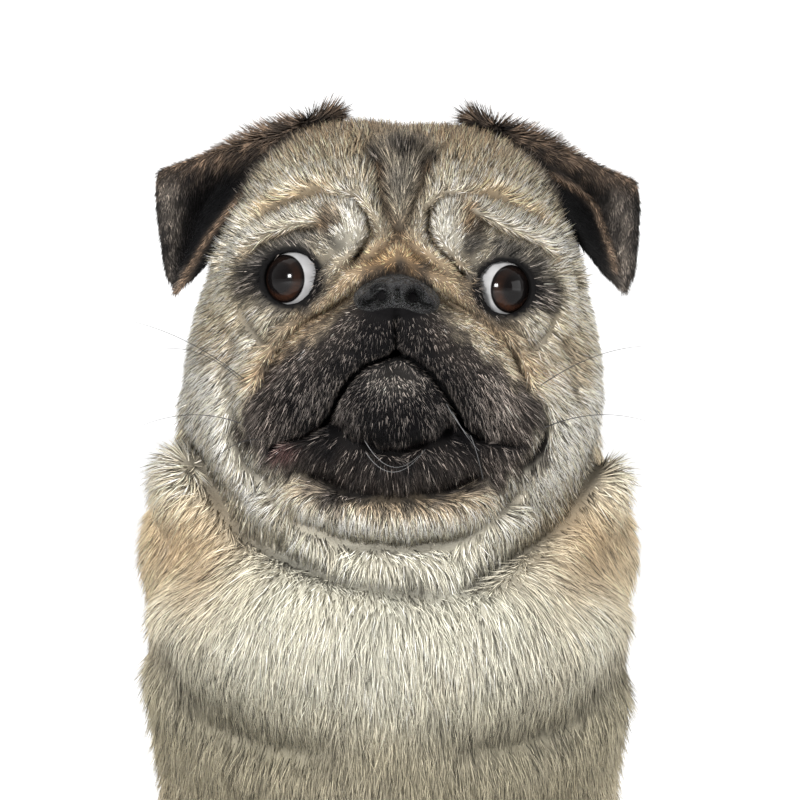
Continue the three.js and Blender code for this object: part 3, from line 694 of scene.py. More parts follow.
# The same, soft ovals: place, two radii in millimetres and degrees of turn
OVALS = {
    "nose_bridge": [(397, 264, 14, 4)],
    "above_nose": [(397, 271, 12, 3)],
    "brow_pads": [(345, 225, 9, 13, 12), (452, 222, 9, 13, -12)],
    "grey_and_shade_above_eyes": [(290, 262, 15, 10), (508, 268, 15, 10)],
    "brow_brown": [(330, 222, 4.5, 6.5, -30), (467, 222, 4.5, 7.5, 25)],
    "brow_black": [(334, 232, 3, 8, 18), (472, 240, 3.2, 9, -20)],
    "thumb_mark": [(400, 165, 13, 15)],
    "thumb_spots": [(379, 166, 3.6, 6, 10), (405, 152, 5, 3.4), (426, 168, 3.6, 5.5)],
    "low_forehead": [(400, 205, 9, 14)],
    "chin_top_highlight": [(393, 378, 13, 7)],
    "mouth_corner": [(286, 450, 6, 3.2, 15)],
    "jaw": [(395, 490, 38, 8)],
    "grey_hairs_and_sheen": [
        (395, 373, 15, 5), (350, 412, 5, 11, 20), (442, 412, 5, 11, -20),
        (395, 448, 16, 3), (320, 400, 8, 12), (490, 400, 10, 12),
    ],
}


def toward(colour, other, amount):
    return colour + (other - colour) * np.asarray(amount)[:, None]


def value_noise(p, size, seed):
    """Smooth noise from about -1 to 1 with bumps about size millimetres across."""
    draw = np.random.default_rng(seed)
    value = np.zeros(len(p))
    for _ in range(7):
        way = draw.normal(size=3)
        way /= np.linalg.norm(way)
        value += np.sin(p @ way * (2 * math.pi / (size * draw.uniform(0.7, 1.6))) + draw.uniform(0, 6.28))
    return value / 3.2


def disc(d, inner, outer):
    """1 up to the inner distance, fading to 0 at the outer one."""
    return 1 - smooth(d, inner, outer)


def spot(flat, px, py, rx, ry, turn=0.0):
    """1 inside a soft oval on the face."""
    x, z = front(px, py)
    c, s = math.cos(math.radians(turn)), math.sin(math.radians(turn))
    dx, dz = flat[:, 0] - x, flat[:, 1] - z
    return disc(np.hypot((dx * c + dz * s) / rx, (-dx * s + dz * c) / ry), 0.45, 1.25)


def ovals(flat, name):
    return sum(spot(flat, *oval) for oval in OVALS[name])


def stroke(flat, line, width):
    return np.exp(-((line_distance(flat, line)[0] / width) ** 2))


def mask_part(flat, wander):
    """How many millimetres inside the black muzzle's wandering outline a place lies."""
    x, z = np.abs(flat[:, 0]), flat[:, 1]
    top = np.interp(x, [0, 11, 13, 20, 30, 41, 51, 54], [10, 8, 0, -6, -13, -22, -35, -60])
    bottom = np.interp(x, [0, 20, 38, 50, 60], [-66, -64, -58, -46, -40])
    side = 51 - np.abs(z + 42) * 0.12
    return np.minimum(np.minimum(top - z, z - bottom), side - x) + wander * 3.5


def body_colour(p, coarse, fine):
    """Pale in front, tan on the neck's sides and along the back, and painted shade on the upper forelegs
    under the chest.
    """
    across, along, up = np.abs(p[:, 0]), p[:, 1], p[:, 2]
    chest = smooth(-along, 5, 60) * smooth(up, 165, 195)
    neck_side = np.exp(-(((across - 66) / 20) ** 2) - ((up - 250) / 26) ** 2) * smooth(-along, -60, 10)
    # Painted shade on the upper forelegs, below the bulge of the chest
    arm = smooth(205 - up + 0.25 * across, 0, 40) * smooth(up, 120, 150) * smooth(-along, -50, 20)
    back = smooth(along + 0.3 * (up - 200), 20, 90) * smooth(60 - across, -10, 40)
    trace = np.exp(-((across / 7) ** 2)) * smooth(along, 30, 60) * smooth(up, 60, 120)
    colour = np.tile(FAWN, (len(p), 1))
    colour = toward(colour, PALE, 0.6 * chest)
    colour = toward(colour, ASH, 0.42 * chest * (1 + 0.35 * coarse))
    colour = toward(colour, TAN, np.clip(0.62 * neck_side + 0.12 * coarse * chest, 0, 1))
    colour = toward(colour, FORELEG_SHADE, 0.8 * arm)
    colour = toward(colour, TAN, 0.28 * back * (1 + 0.5 * value_noise(p, 60, 9)))
    colour = toward(colour, BROWN, 0.45 * trace)
    return toward(colour, GREY, np.clip(0.10 + 0.10 * coarse + 0.05 * fine, 0, 1))


def head_colour(h, coarse, fine):
    """The head's colour, then the marks of the face, the black mask, and the black fur and painted shade at
    the roots of the ears. Some marks of the face are painted shade or a painted highlight.
    """
    flat = h[:, [0, 2]]
    side, up = h[:, 0], h[:, 2]
    face = face_part(h)
    head = np.tile(FAWN, (len(h), 1))
    head = toward(head, PALE, np.clip(0.55 * smooth(-up, 0, 25) + 0.15 * coarse, 0, 1))
    head = toward(head, TAN, 0.35 * smooth(h[:, 1], 0, 40))
    head = toward(head, BROWN, np.clip(0.55 * smooth(up, 32, 58) * (1 + 0.35 * fine), 0, 1))

    def mark(colour, amount):
        nonlocal head
        head = toward(head, colour, np.clip(amount * face, 0, 1))

    mark(ROLL_TAN, 0.8 * sum(stroke(flat, line, 6.5) for line in STROKES["nose_roll"]))
    mark(TAN, 0.6 * ovals(flat, "nose_bridge"))
    mark(BROWN, 0.5 * ovals(flat, "above_nose"))
    mark(PALE, 0.75 * ovals(flat, "brow_pads"))
    for line in STROKES["brow_bands"]:
        mark(PALE, 0.6 * stroke(flat, line, 4.2))
    # Painted shade along the creases over the brow bands
    for line in STROKES["shade_over_brow_bands"]:
        mark(TAN, 0.5 * stroke(flat, line, 3.5))
    # Grey hair above the eyes, with painted shade under the brows
    mark(GREY, 0.25 * ovals(flat, "grey_and_shade_above_eyes"))
    mark(BROWN, 0.7 * ovals(flat, "brow_brown") * (1 + 0.4 * fine))
    mark(BLACK, 0.75 * ovals(flat, "brow_black") * (0.8 + 0.5 * fine))
    # Painted shade along the creases of the brow pads and under the brow bands
    for line, _, _ in FOLD_LINES[:4]:
        mark(ROLL_TAN, 0.5 * stroke(flat, line, 1.8))
    mark(GREY, 0.62 * ovals(flat, "thumb_mark") * (1 + 0.3 * fine))
    mark(BLACK, 0.62 * ovals(flat, "thumb_spots"))
    # Painted shade along the creases of the forehead
    for line, amount in zip(STROKES["frown_crease_shade"], (0.6, 0.45)):
        mark(BROWN, amount * stroke(flat, line, 2.6))
    mark(GREY, 0.35 * ovals(flat, "low_forehead"))
    lids = sum(stroke(flat, line, 3.4) for line in STROKES["upper_lids"])
    mark(GREY, np.clip(0.8 * lids * (1 + 0.6 * fine), 0, 1))
    for s in (1, -1):
        round_eye = np.hypot((side - s * (EYE_PLACE[0] + 2.3)) / 1.08, up - EYE_PLACE[2])
        mark(GREY, np.clip(0.5 * disc(round_eye, 10.5, 16) * (1 + 0.7 * fine), 0, 1))
        mark(BLACK, 0.95 * disc(round_eye, 9.6, 11.4))
        mark(BLACK, 0.75 * disc(np.hypot(side - s * 49.5, (up - 4.5) * 0.7), 2, 6.5))
        mark(GREY, 0.3 * disc(np.hypot(side - s * 43, (up + 11) * 1.6), 4, 12))
        mark(BROWN, 0.3 * disc(np.hypot(side - s * 58, (up + 14) * 0.6), 4, 10))
    gap = mask_part(flat, fine + 0.6 * coarse)
    inner = smooth(gap, 6, 22)
    tone = toward(np.tile(MASK_BROWN, (len(h), 1)), BLACK, 0.4 + 0.6 * inner)
    tone = toward(tone, GREY, np.clip(0.16 * (1 + fine), 0, 1) * (1 - inner))
    mask = smooth(gap, -4.5, 4.5) * face
    head = toward(head, tone, mask)
    # Painted shade: black skin round and under the nose pad, seen through the nostrils and along the pad's
    # edge
    mark(BLACK, disc(np.hypot(side / 13.0, (up - 1) / 8.0), 0.85, 1.05))
    # Painted highlight on the top of the chin
    mark(GREY, 0.5 * ovals(flat, "chin_top_highlight"))
    for line in MOUTH_LINES:
        mark(BLACK, stroke(flat, line, 1.7))
    mark(LIP_PINK, 0.6 * ovals(flat, "mouth_corner"))
    mark(BROWN, 0.55 * ovals(flat, "jaw") * (1 - mask))
    # Black fur and painted shade on the head under the roots of the ears
    past_ear = smooth(np.abs(side) - np.interp(up, [0, 24, 44, 60, 66], [66, 56, 46, 30, 24]), -3, 4)
    return toward(head, BLACK, 0.92 * past_ear * smooth(up, 14, 24) * smooth(-h[:, 1], -26, -8))


def markings(p):
    """The colour of the coat at a place, the same for skin and hair, with painted shade in the depth of each
    fold.
    """
    h = to_head(p)
    coarse, fine = value_noise(p, 22, 3), value_noise(p, 7, 5)
    colour = toward(body_colour(p, coarse, fine), head_colour(h, coarse, fine), head_share(p))
    face, neck = fold_depths(h)
    # Painted shade: the deeper the folds of the face and neck sink the surface, the darker the colour
    sunk = np.clip(face, 0, 3) + 0.45 * np.clip(neck, 0, 5)
    colour = colour * (1 - 0.13 * sunk)[:, None]
    colour *= (1 + 0.05 * fine + 0.04 * coarse)[:, None]
    return np.clip(colour, 8, 245) / 255


# Coat
def lie(p, normals):
    """The way the hair points, along the surface."""
    h = to_head(p)
    share = head_share(p)
    face = face_part(h)
    # On the face it runs outwards from between the eyes, up over the brow and down over the muzzle
    up = smooth(h[:, 2], 2, 20)
    face_way = h - [0, -70, 14]
    face_way[:, 1] = np.maximum(face_way[:, 1], 0)
    face_way += np.stack([0 * up, 30 + 40 * up, 34 * up - 26 * (1 - up)], 1)
    back_way = np.stack([0.15 * p[:, 0], np.full(len(p), 60.0), np.full(len(p), -55.0)], 1)
    head_way = face_way * face[:, None] + back_way * (1 - face)[:, None]
    # On the body it runs down and back, outwards on the shoulders and straight down the legs
    shoulder = smooth(p[:, 2], 215, 245) * smooth(np.abs(p[:, 0]), 45, 65)
    outward = 0.18 * p[:, 0] + 40 * shoulder * np.sign(p[:, 0])
    body_way = np.stack([outward, 14 + 60 * smooth(p[:, 1], -30, 60), np.full(len(p), -60.0)], 1)
    body_way[:, 0] += 6 * value_noise(p, 16, 71)
    body_way[:, 2] += 5 * value_noise(p, 13, 73)
    body_way[:, 1] *= 1 - 0.7 * smooth(-p[:, 2], -150, -90)
    return along_skin(unit(body_way) * (1 - share)[:, None] + unit(head_way) * share[:, None], normals)


# Corners of one hair's triangles, and each corner's place in a small patch of the unwrap
STRAIGHT_HAIR = np.array([[0, 1, 3], [1, 2, 3], [2, 0, 3], [0, 2, 1]])
STRAIGHT_PATCH = np.array([[0, 0], [0.5, 0.1], [1, 0], [0.5, 1]])
BENT_HAIR = np.array([
    [0, 1, 4], [0, 4, 3], [1, 2, 5], [1, 5, 4], [2, 0, 3],
    [2, 3, 5], [3, 4, 6], [4, 5, 6], [5, 3, 6], [0, 2, 1],
])
BENT_PATCH = np.array([[0, 0], [0.5, 0], [1, 0], [0, 0.6], [0.5, 0.6], [1, 0.6], [0.5, 1]])
PATCH_SIZE = 0.003
FLOOR_GAP = 0.25


def hair_mesh(name, roots, normals, ways, lengths, radii, lifts, colours, tips, uvs, shade=0.62, bent=False):
    """Solid tapered hairs: a ring at the base, one in the middle of a bent hair, and a tip."""
    n = len(roots)
    ways = along_skin(ways + rng.normal(0, 0.12 if bent else 0.17, (n, 3)), normals)
    start = ways * np.cos(lifts)[:, None] + normals * np.sin(lifts)[:, None]
    end = unit(start * 0.75 + ways * 0.25)
    side = unit(np.cross(start, normals))
    other = np.cross(side, start)
    base = roots - normals * 0.35
    middle = base + start * (0.5 * lengths)[:, None]
    tip = middle + end * (0.5 * lengths)[:, None]
    rings = []
    for centre, scale in ((base, 1.0), (middle, 0.8))[: 2 if bent else 1]:
        for a in 2 * math.pi * np.arange(3) / 3:
            rings.append(centre + (math.cos(a) * side + math.sin(a) * other) * (radii * scale)[:, None])
    each = len(rings) + 1
    vertices = np.stack([*rings, tip], 1).reshape(-1, 3)
    vertices[:, 2] = np.maximum(vertices[:, 2], FLOOR_GAP)
    corners, patch = (BENT_HAIR, BENT_PATCH) if bent else (STRAIGHT_HAIR, STRAIGHT_PATCH)
    faces = (corners[None] + each * np.arange(n)[:, None, None]).reshape(-1, 3)
    obj = make_mesh(name, vertices, faces)
    # Painted shade: the rings take the colour times shade, darker deep in the coat, and the tip keeps its
    # lighter colour
    tint = np.repeat(colours[:, None], each, 1) * shade
    tint[:, -1] = tips
    set_colour(obj, tint.reshape(-1, 3))
    layer = obj.data.uv_layers.new(name="OFBake")
    corner = uvs[:, None, None] + ((patch - 0.5) * PATCH_SIZE)[corners][None]
    layer.data.foreach_set("uv", np.clip(corner, 0, 1).astype(F32).ravel())
    return obj


def sample(vertices, triangles, weights, count):
    """Random places on the triangles: triangle number and its three shares."""
    a, b, c = (vertices[triangles[:, i]] for i in range(3))
    area = np.linalg.norm(np.cross(b - a, c - a), axis=1) * weights
    steps = np.cumsum(area)
    pick = np.searchsorted(steps, (np.arange(count) + rng.random(count)) / count * steps[-1])
    pick = np.minimum(pick, len(triangles) - 1)
    u, v = rng.random(count), rng.random(count)
    flip = u + v > 1
    u[flip], v[flip] = 1 - u[flip], 1 - v[flip]
    return pick, np.stack([1 - u - v, u, v], 1)


def mixed(values, shares):
    """One value for each place, from those of its triangle's three corners."""
    return (values * shares.reshape(shares.shape + (1,) * (values.ndim - 2))).sum(1)


# Materials
def material(name, roughness, bump=None, colour=None, **inputs):
    """Colour from the point colours or a fixed one, with fine noise in colour, roughness and height.

    The bump is the noise's scale, the strength and the height in metres.
    """
    m = bpy.data.materials.new(name)
    m.use_nodes = True
    nodes, links = m.node_tree.nodes, m.node_tree.links
    bsdf = nodes["Principled BSDF"]
    for key, value in inputs.items():
        bsdf.inputs[key.replace("_", " ")].default_value = value
    coordinates = nodes.new("ShaderNodeTexCoord")
    noise = nodes.new("ShaderNodeTexNoise")
    noise.inputs["Scale"].default_value = bump[0] if bump else 400
    noise.inputs["Detail"].default_value = 4
    links.new(coordinates.outputs["Object"], noise.inputs["Vector"])
    ramp = nodes.new("ShaderNodeMapRange")
    ramp.inputs["To Min"].default_value = max(roughness - 0.08, 0.02)
    ramp.inputs["To Max"].default_value = min(roughness + 0.08, 1)
    links.new(noise.outputs["Fac"], ramp.inputs["Value"])
    links.new(ramp.outputs["Result"], bsdf.inputs["Roughness"])
    if colour is None:
        tint = nodes.new("ShaderNodeVertexColor")
        tint.layer_name = "Col"
        links.new(tint.outputs["Color"], bsdf.inputs["Base Color"])
    else:
        mix = nodes.new("ShaderNodeMix")
        mix.data_type = "RGBA"
        mix.inputs[6].default_value = (*[c * 0.75 for c in colour], 1)
        mix.inputs[7].default_value = (*[min(c * 1.3, 1) for c in colour], 1)
        links.new(noise.outputs["Fac"], mix.inputs[0])
        links.new(mix.outputs[2], bsdf.inputs["Base Color"])
    if bump:
        height = nodes.new("ShaderNodeBump")
        height.inputs["Strength"].default_value = bump[1]
        height.inputs["Distance"].default_value = bump[2]
        links.new(noise.outputs["Fac"], height.inputs["Height"])
        links.new(height.outputs["Normal"], bsdf.inputs["Normal"])
    return m


HIDE = material("skin_under_coat", 0.8, (900, 0.6, 0.0006), Specular_IOR_Level=0.06)
COAT = material("coat_hair", 0.55, Specular_IOR_Level=0.1)
WET = material("eye_surface", 0.1, Specular_IOR_Level=0.13)
NOSE = material("nose_leather", 0.22, (1000, 1.0, 0.004), Specular_IOR_Level=0.5)
HORN = material("claw_horn", 0.4, (700, 0.3, 0.0002), (0.03, 0.026, 0.022), Coat_Weight=0.2)
BRISTLE = material("whisker_hair", 0.5, Specular_IOR_Level=0.15)


def dress(obj, mat, slot_name, *nodes):
    """Give a piece its material, hang it from the root, and hide the nodes that it replaces. The slot name is
    not used.
    """
    obj.data.materials.append(mat)
    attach(obj, "root")
    if nodes:
        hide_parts(*nodes)


# Skin, finer on the head than on the body
FINE = detail(1.25, 1.9)
ROUGH = detail(2.5, 3.4)
positive = lines_between(0, 104, lambda x: FINE if x < 74 else ROUGH)
verts, quads = surface_net(
    skin_field,
    np.concatenate([-positive[:0:-1], positive]),
    lines_between(-112, 268, lambda y: FINE if y < -34 else ROUGH),
    lines_between(-3, 398, lambda z: ROUGH if z < 246 else FINE),
)
verts = onto_surface(skin_field, verts)
skin = make_mesh("skin", verts, quads)
# The skin is painted darker than the hair, more on the head: painted shade between the hairs
set_colour(skin, markings(verts) * (0.8 - 0.26 * head_share(verts))[:, None])
leg_parts = ("foreleg", "forepaw", "hindleg", "hindpaw")
leg_nodes = [f"{part}_{side}" for part in leg_parts for side in ("left", "right")]
dress(skin, HIDE, "coat", "head", "neck", "torso", *leg_nodes)
skin_uv = unwrap(skin)
skin_normals = vertex_normals(skin)
triangles = split_quads(quads)
triangle_loops = split_quads(np.arange(len(quads) * 4).reshape(-1, 4))


# Coat of the head and the body
def hair_free(p, h):
    """1 where no hair grows: inside the mouth line, the nose's seat, the eye openings, and under the feet."""
    free = (p[:, 2] < 2.0).astype(float)
    for side in (1, -1):
        _, along, across = from_eye(h, side)
        free = np.maximum(free, (along > 0) * disc(np.linalg.norm(across, axis=1), 9.7, 10.4))
    nose_seat = np.linalg.norm((h - [0, -72, 1.8]) / [14.0, 12, 7.0], axis=1)
    free = np.maximum(free, disc(nose_seat, 0.98, 1.02))
    for line in MOUTH_LINES:
        d, _ = line_distance(h[:, [0, 2]], line)
        free = np.maximum(free, (h[:, 1] < -20) * disc(d, 0.8, 1.5))
    return free


def coat_density():
    """How thickly each triangle of the skin is covered, and which triangles belong to the head."""
    middle = verts[triangles].mean(1)
    h = to_head(middle)
    density = (1 - hair_free(middle, h)) / (0.32 + 0.022 * hair_length(middle, h) ** 1.6)
    density *= 1 - 0.55 * smooth(middle[:, 1], 80, 150)
    on_head = head_share(middle) > 0.5
    return density * np.where(on_head, 0.45 + 0.75 * smooth(-middle[:, 1], 0, 40), 1), on_head


def grow(name, weights, count, shade):
    """Hairs over the part of the skin that the weights pick, in pieces."""
    pick, shares = sample(verts, triangles, weights, count)
    roots = mixed(verts[triangles[pick]], shares)
    normals = unit(mixed(skin_normals[triangles[pick]], shares))
    uvs = mixed(skin_uv[triangle_loops[pick]], shares)
    h = to_head(roots)
    share = head_share(roots)
    length = hair_length(roots, h) * rng.uniform(0.72, 1.18, count)
    radius = (0.11 + (0.011 + 0.006 * share) * length) * detail(1, 1.8)
    crown = smooth(h[:, 2], 30, 55) * share
    shoulder = smooth(roots[:, 2], 225, 245) * smooth(np.abs(roots[:, 0]), 50, 65) * (1 - share)
    lift = np.radians(rng.normal(21, 6, count)) * (1 - 0.25 * shoulder) * (1 - 0.2 * share + 0.2 * crown)
    colour, tips = hair_colours(roots, h, share)
    ways = lie(roots, normals)
    order = rng.permutation(count)
    for i, bit in enumerate(np.array_split(order, math.ceil(count / PIECE_HAIRS))):
        arrays = (roots, normals, ways, length, radius, lift, colour, tips, uvs)
        dress(hair_mesh(f"{name}_{i + 1}", *(values[bit] for values in arrays), shade=shade), COAT, "coat")


def hair_colours(roots, h, share):
    """Colours of the hairs' roots and tips. Some tips are dark, and pale hairs are strewn in the mask: grey
    hairs and painted sheen on the glossy black hair.
    """
    flat = h[:, [0, 2]]
    count = len(roots)
    colour = markings(roots)
    dark_coat = colour.mean(1) < 0.22
    spread = 0.13 + 0.24 * share
    colour = colour * (1.14 + spread * rng.normal(0, 1, count)).clip(0.3, 1.9)[:, None]
    tips = colour * 1.08
    dark_tip = rng.random(count) < 0.10 + 0.05 * share
    tips[dark_tip] *= 0.3
    colour[dark_tip] *= 0.65
    # Pale hairs in the black mask: grey hairs and painted sheen
    low_face = smooth(-flat[:, 1], 30, 44) * (np.abs(flat[:, 0]) < 30)
    chance = 0.36 - 0.26 * low_face + 0.34 * ovals(flat, "grey_hairs_and_sheen")
    pale = dark_coat & (rng.random(count) < chance) & (share > 0.5)
    colour[pale] += (0.06 + 0.56 * rng.random(pale.sum()) ** 1.3)[:, None] * [1.0, 0.94, 0.88]
    tips[pale] = colour[pale] * 1.15
    return colour, tips


density, on_head = coat_density()
# The last number is the painted shade at the hairs' roots
grow("head_coat", density * on_head, detail(*HEAD_HAIRS), 0.6)
grow("body_coat", density * ~on_head, detail(*BODY_HAIRS), 0.8)


# Eyeballs: rings round the way each eye looks, with a raised cornea
def eyeball(side):
    centre = EYE_PLACE * [side, 1, 1]
    turn, rise = math.radians(GAZE_TURN * side), math.radians(-2)
    gaze = np.array([math.sin(turn) * math.cos(rise), -math.cos(turn) * math.cos(rise), math.sin(rise)])
    right = np.cross(gaze, [0, 0, 1])
    right /= np.linalg.norm(right)
    above = np.cross(right, gaze)
    angles = np.concatenate([np.linspace(0.6, 60, 100), np.linspace(62, 180, 40)])
    around = np.linspace(0, 2 * math.pi, 96, endpoint=False)
    a = np.radians(angles)[:, None]
    r = EYE_RADIUS - 0.05 + 0.75 * np.clip(1 - (angles / (IRIS_EDGE + 2)) ** 2, 0, 1)[:, None] ** 1.2
    x = r * np.sin(a) * np.cos(around)
    y = r * np.sin(a) * np.sin(around)
    z = r * np.cos(a) + 0 * around
    points = (centre + x[..., None] * right + y[..., None] * above + z[..., None] * gaze).reshape(-1, 3)
    poles = np.array([centre + gaze * (EYE_RADIUS + 0.7), centre - gaze * EYE_RADIUS])
    tris = closed_tube(np.arange(len(points)).reshape(len(angles), len(around)))
    side_name = "left" if side > 0 else "right"
    obj = make_mesh(f"eyeball_{side_name}", from_head(np.concatenate([points, poles])), tris)
    set_colour(obj, np.concatenate([eye_colour(points, angles, around, side), [EYE_BLACK, EYE_WHITE]]) / 255)
    dress(obj, WET, "eye", f"eye_{side_name}")


def eye_colour(points, angles, around, side):
    """A black pupil, a streaked brown iris with a dark edge and painted light on its lower part, and the
    white, pink far out.
    """
    angle = np.repeat(angles, len(around))
    turn = np.tile(around, len(angles))
    streak = 0.5 + 0.5 * np.sin(turn * 23 + 2 * np.sin(turn * 7) + angle * 0.2)
    # Painted light: the iris is lighter below, where light through the cornea falls
    painted_light_below = 0.5 - 0.5 * np.sin(turn)
    ring = smooth(angle, 21, 33) * (1 - smooth(angle, 38, IRIS_EDGE - 1))
    brown = ring * (0.30 + 0.7 * painted_light_below) * (0.75 + 0.25 * streak)
    iris = toward(np.tile(EYE_BLACK, (len(points), 1)), EYE_BROWN, brown)
    white = EYE_WHITE * (1 + 0.03 * value_noise(points, 3.2, 31 + side))[:, None]
    white = toward(white, EYE_PINK, 0.25 * smooth(angle, 66, 100))
    return toward(iris, white, smooth(angle, IRIS_EDGE - 0.6, IRIS_EDGE + 1.4))


eyeball(1)
eyeball(-1)


# Nose pad
def nose_holes(h):
    nostril = pair(ellipsoid([5.6, -77.0, 1.4], [3.2, 7.0, 3.5], [0, 32, 0]))
    slit = pair(ellipsoid([9.6, -76, -1.0], [4.8, 6.0, 1.8], [0, 24, 0]))
    cleft = ellipsoid([0, -81, -1], [1.0, 4.5, 6])
    h = h.astype(F32)
    return soft_min(soft_min(nostril(h), slit(h), 1.0), cleft(h), 0.6)


def nose_field(h):
    bridge = ellipsoid([0, -69.5, 3.1], [8.8, 9.5, 5.6])
    wing = pair(ellipsoid([8, -67.5, 0.8], [6.0, 8.5, 4.8], [0, 12, -20]))
    return -soft_min(-blend(3, bridge, wing)(h.astype(F32)), nose_holes(h), 1.2)


def nose_colour(h):
    """Near black, with painted shade in the nostrils, and a fine grain."""
    # Painted shade: darker towards and inside the nostrils
    outside = smooth(nose_holes(h), 0.7, 1.9)
    shade = (2 + 27 * outside) * (1 + 0.85 * value_noise(h, 1.1, 61))
    return np.repeat(shade[:, None], 3, 1) / 255


def nose_pad():
    spans = ((-18, 18), (-86, -52), (-9, 16))
    lines = [lines_between(low, high, lambda v: detail(0.5, 0.9)) for low, high in spans]
    points, faces = surface_net(nose_field, *lines, reach=1.0)
    placed = from_head(onto_surface(nose_field, points))
    obj = make_mesh("nose_pad", placed, faces)
    set_colour(obj, nose_colour(to_head(placed)))
    dress(obj, NOSE, "nose_pad", "nose")


nose_pad()

# Ears: where each is rooted, its side, the ends of its ridge, its tip, and how hollow it is
EAR_ROOT = np.array([[22, 4, 55], [56, 14, 24.0]])
EARS = {
    "left": (1, [25, -8, 64], [80, -3, 46], [77, -26, 8], 13),
    "right": (-1, [27, -8, 63], [84, -3, 42], [75, -26, 1], 12),
}
EAR_THICKNESS = 1.3

# Features of the ears, as lines in the photograph: rim, hollow, outer strip, and band beside the head
EAR_LINES = {
    "right": (
        [(256, 168), (232, 196), (205, 230), (186, 265), (172, 295)],
        [(222, 182), (200, 212), (183, 250)],
        [(160, 180), (165, 215), (170, 255), (176, 290)],
        [(318, 126), (262, 168), (215, 235), (198, 268)],
    ),
    "left": (
        [(532, 160), (560, 167), (587, 182), (602, 197), (609, 220), (618, 262)],
        [(548, 174), (578, 200), (588, 226)],
        [(626, 196), (630, 230), (630, 262), (628, 290)],
        [(486, 128), (530, 158), (566, 206), (586, 240)],
    ),
}
EAR_LINES = {ear: [photo_line(line) for line in lines] for ear, lines in EAR_LINES.items()}
EAR_LINE_WIDTHS = (1.5, 6.5, 5.0, 5.0)


def ear_marks(ear, p):
    return [stroke(p[:, [0, 2]], line, width) for line, width in zip(EAR_LINES[ear], EAR_LINE_WIDTHS)]


def ear_colour(ear, p, v):
    noise = value_noise(p, 4, 41)
    rim, hollow, strip, band = ear_marks(ear, p)
    near_ridge = smooth(0.66 - v, -0.06, 0.16) * smooth(v, 0.25, 0.4)
    colour = np.tile(EAR_BLACK, (len(p), 1))
    colour = toward(colour, EAR_BROWN_AND_RIM_HIGHLIGHT, np.clip(0.55 * near_ridge * (1 + 0.5 * noise), 0, 1))
    colour = toward(colour, EAR_GREY, np.clip(0.7 * strip * (1 + 0.5 * noise), 0, 1))
    # Painted shade in the ear's hollow
    colour = toward(colour, EAR_HOLLOW_SHADE, 0.9 * hollow)
    # Black fur and painted shade in the band beside the head
    colour = toward(colour, EAR_BAND_FUR_AND_SHADE, 0.8 * band)
    # Painted highlight along the rim
    return toward(colour, EAR_BROWN_AND_RIM_HIGHLIGHT, 0.8 * rim) / 255


def ear_point(ear, u, v):
    """A place on the ear's leaf: u runs outwards, and v from the root over the ridge to the tip."""
    side, start, corner, tip, hollow = EARS[ear]
    start, corner, tip = (np.array(c, float) for c in (start, corner, tip))
    u, v = u[..., None], v[..., None]
    root = EAR_ROOT[0] + u * (EAR_ROOT[1] - EAR_ROOT[0])
    ridge = start + u * (corner - start)
    end = tip + (u - 0.5) * np.array([6, 4, 2])
    straight = np.where(v < 0.5, root + 2 * v * (ridge - root), ridge + (2 * v - 1) * (end - ridge))
    knee = 2 * ridge - (root + end) / 2
    bent = (1 - v) ** 2 * root + 2 * v * (1 - v) * knee + v**2 * end
    p = bent + 0.35 * (straight - bent)
    hanging = np.exp(-(((v[..., 0] - 0.77) / 0.16) ** 2))
    u = u[..., 0]
    cup = hollow * np.exp(-(((u - 0.58) / 0.24) ** 2))
    rim = 4.2 * np.exp(-(((u - 0.14) / 0.1) ** 2))
    p[..., 1] += hanging * (cup - rim)
    p[..., 0] *= side
    return p


def ear_mesh(ear):
    """The leaf of one ear, both faces and a round rim, with each vertex's u and v."""
    polar = np.linspace(0, math.pi, 2 * detail(26, 14) + 1)
    turn = np.linspace(0, 2 * math.pi, detail(110, 60), endpoint=False)
    a = np.sin(polar)[:, None] * np.cos(turn)
    b = np.sin(polar)[:, None] * np.sin(turn)
    c = np.cos(polar)[:, None] + 0 * turn
    square = np.maximum(np.abs(a), np.abs(b)) / np.maximum(np.hypot(a, b), 1e-6)
    stretch = 1 + 0.75 * (1 / np.maximum(square, 0.5) - 1)
    u = 0.5 + 0.5 * a * stretch
    v = 0.5 + 0.5 * b * stretch
    here = ear_point(ear, u, v)
    out = unit(np.cross(ear_point(ear, u + 0.01, v) - here, ear_point(ear, u, v + 0.01) - here))
    points = here + out * (np.sign(c) * np.sqrt(np.abs(c)) * EAR_THICKNESS)[..., None]
    rim, hollow, strip, _ = ear_marks(ear, here.reshape(-1, 3))
    hang = smooth(v, 0.48, 0.6).ravel()
    points[..., 1] += ((4.0 * hollow - 2.6 * rim - 1.0 * strip) * hang).reshape(c.shape)
    grid = np.arange(c.size).reshape(c.shape)
    grid[0] = grid[0, 0]
    grid[-1] = grid[-1, 0]
    tris = split_quads(ring_quads(grid))
    flat = (tris[:, 0] == tris[:, 1]) | (tris[:, 1] == tris[:, 2]) | (tris[:, 0] == tris[:, 2])
    points = points.reshape(-1, 3)
    used, tris = np.unique(facing_out(points, tris[~flat]), return_inverse=True)
    return points[used], tris.reshape(-1, 3), u.ravel()[used], v.ravel()[used]


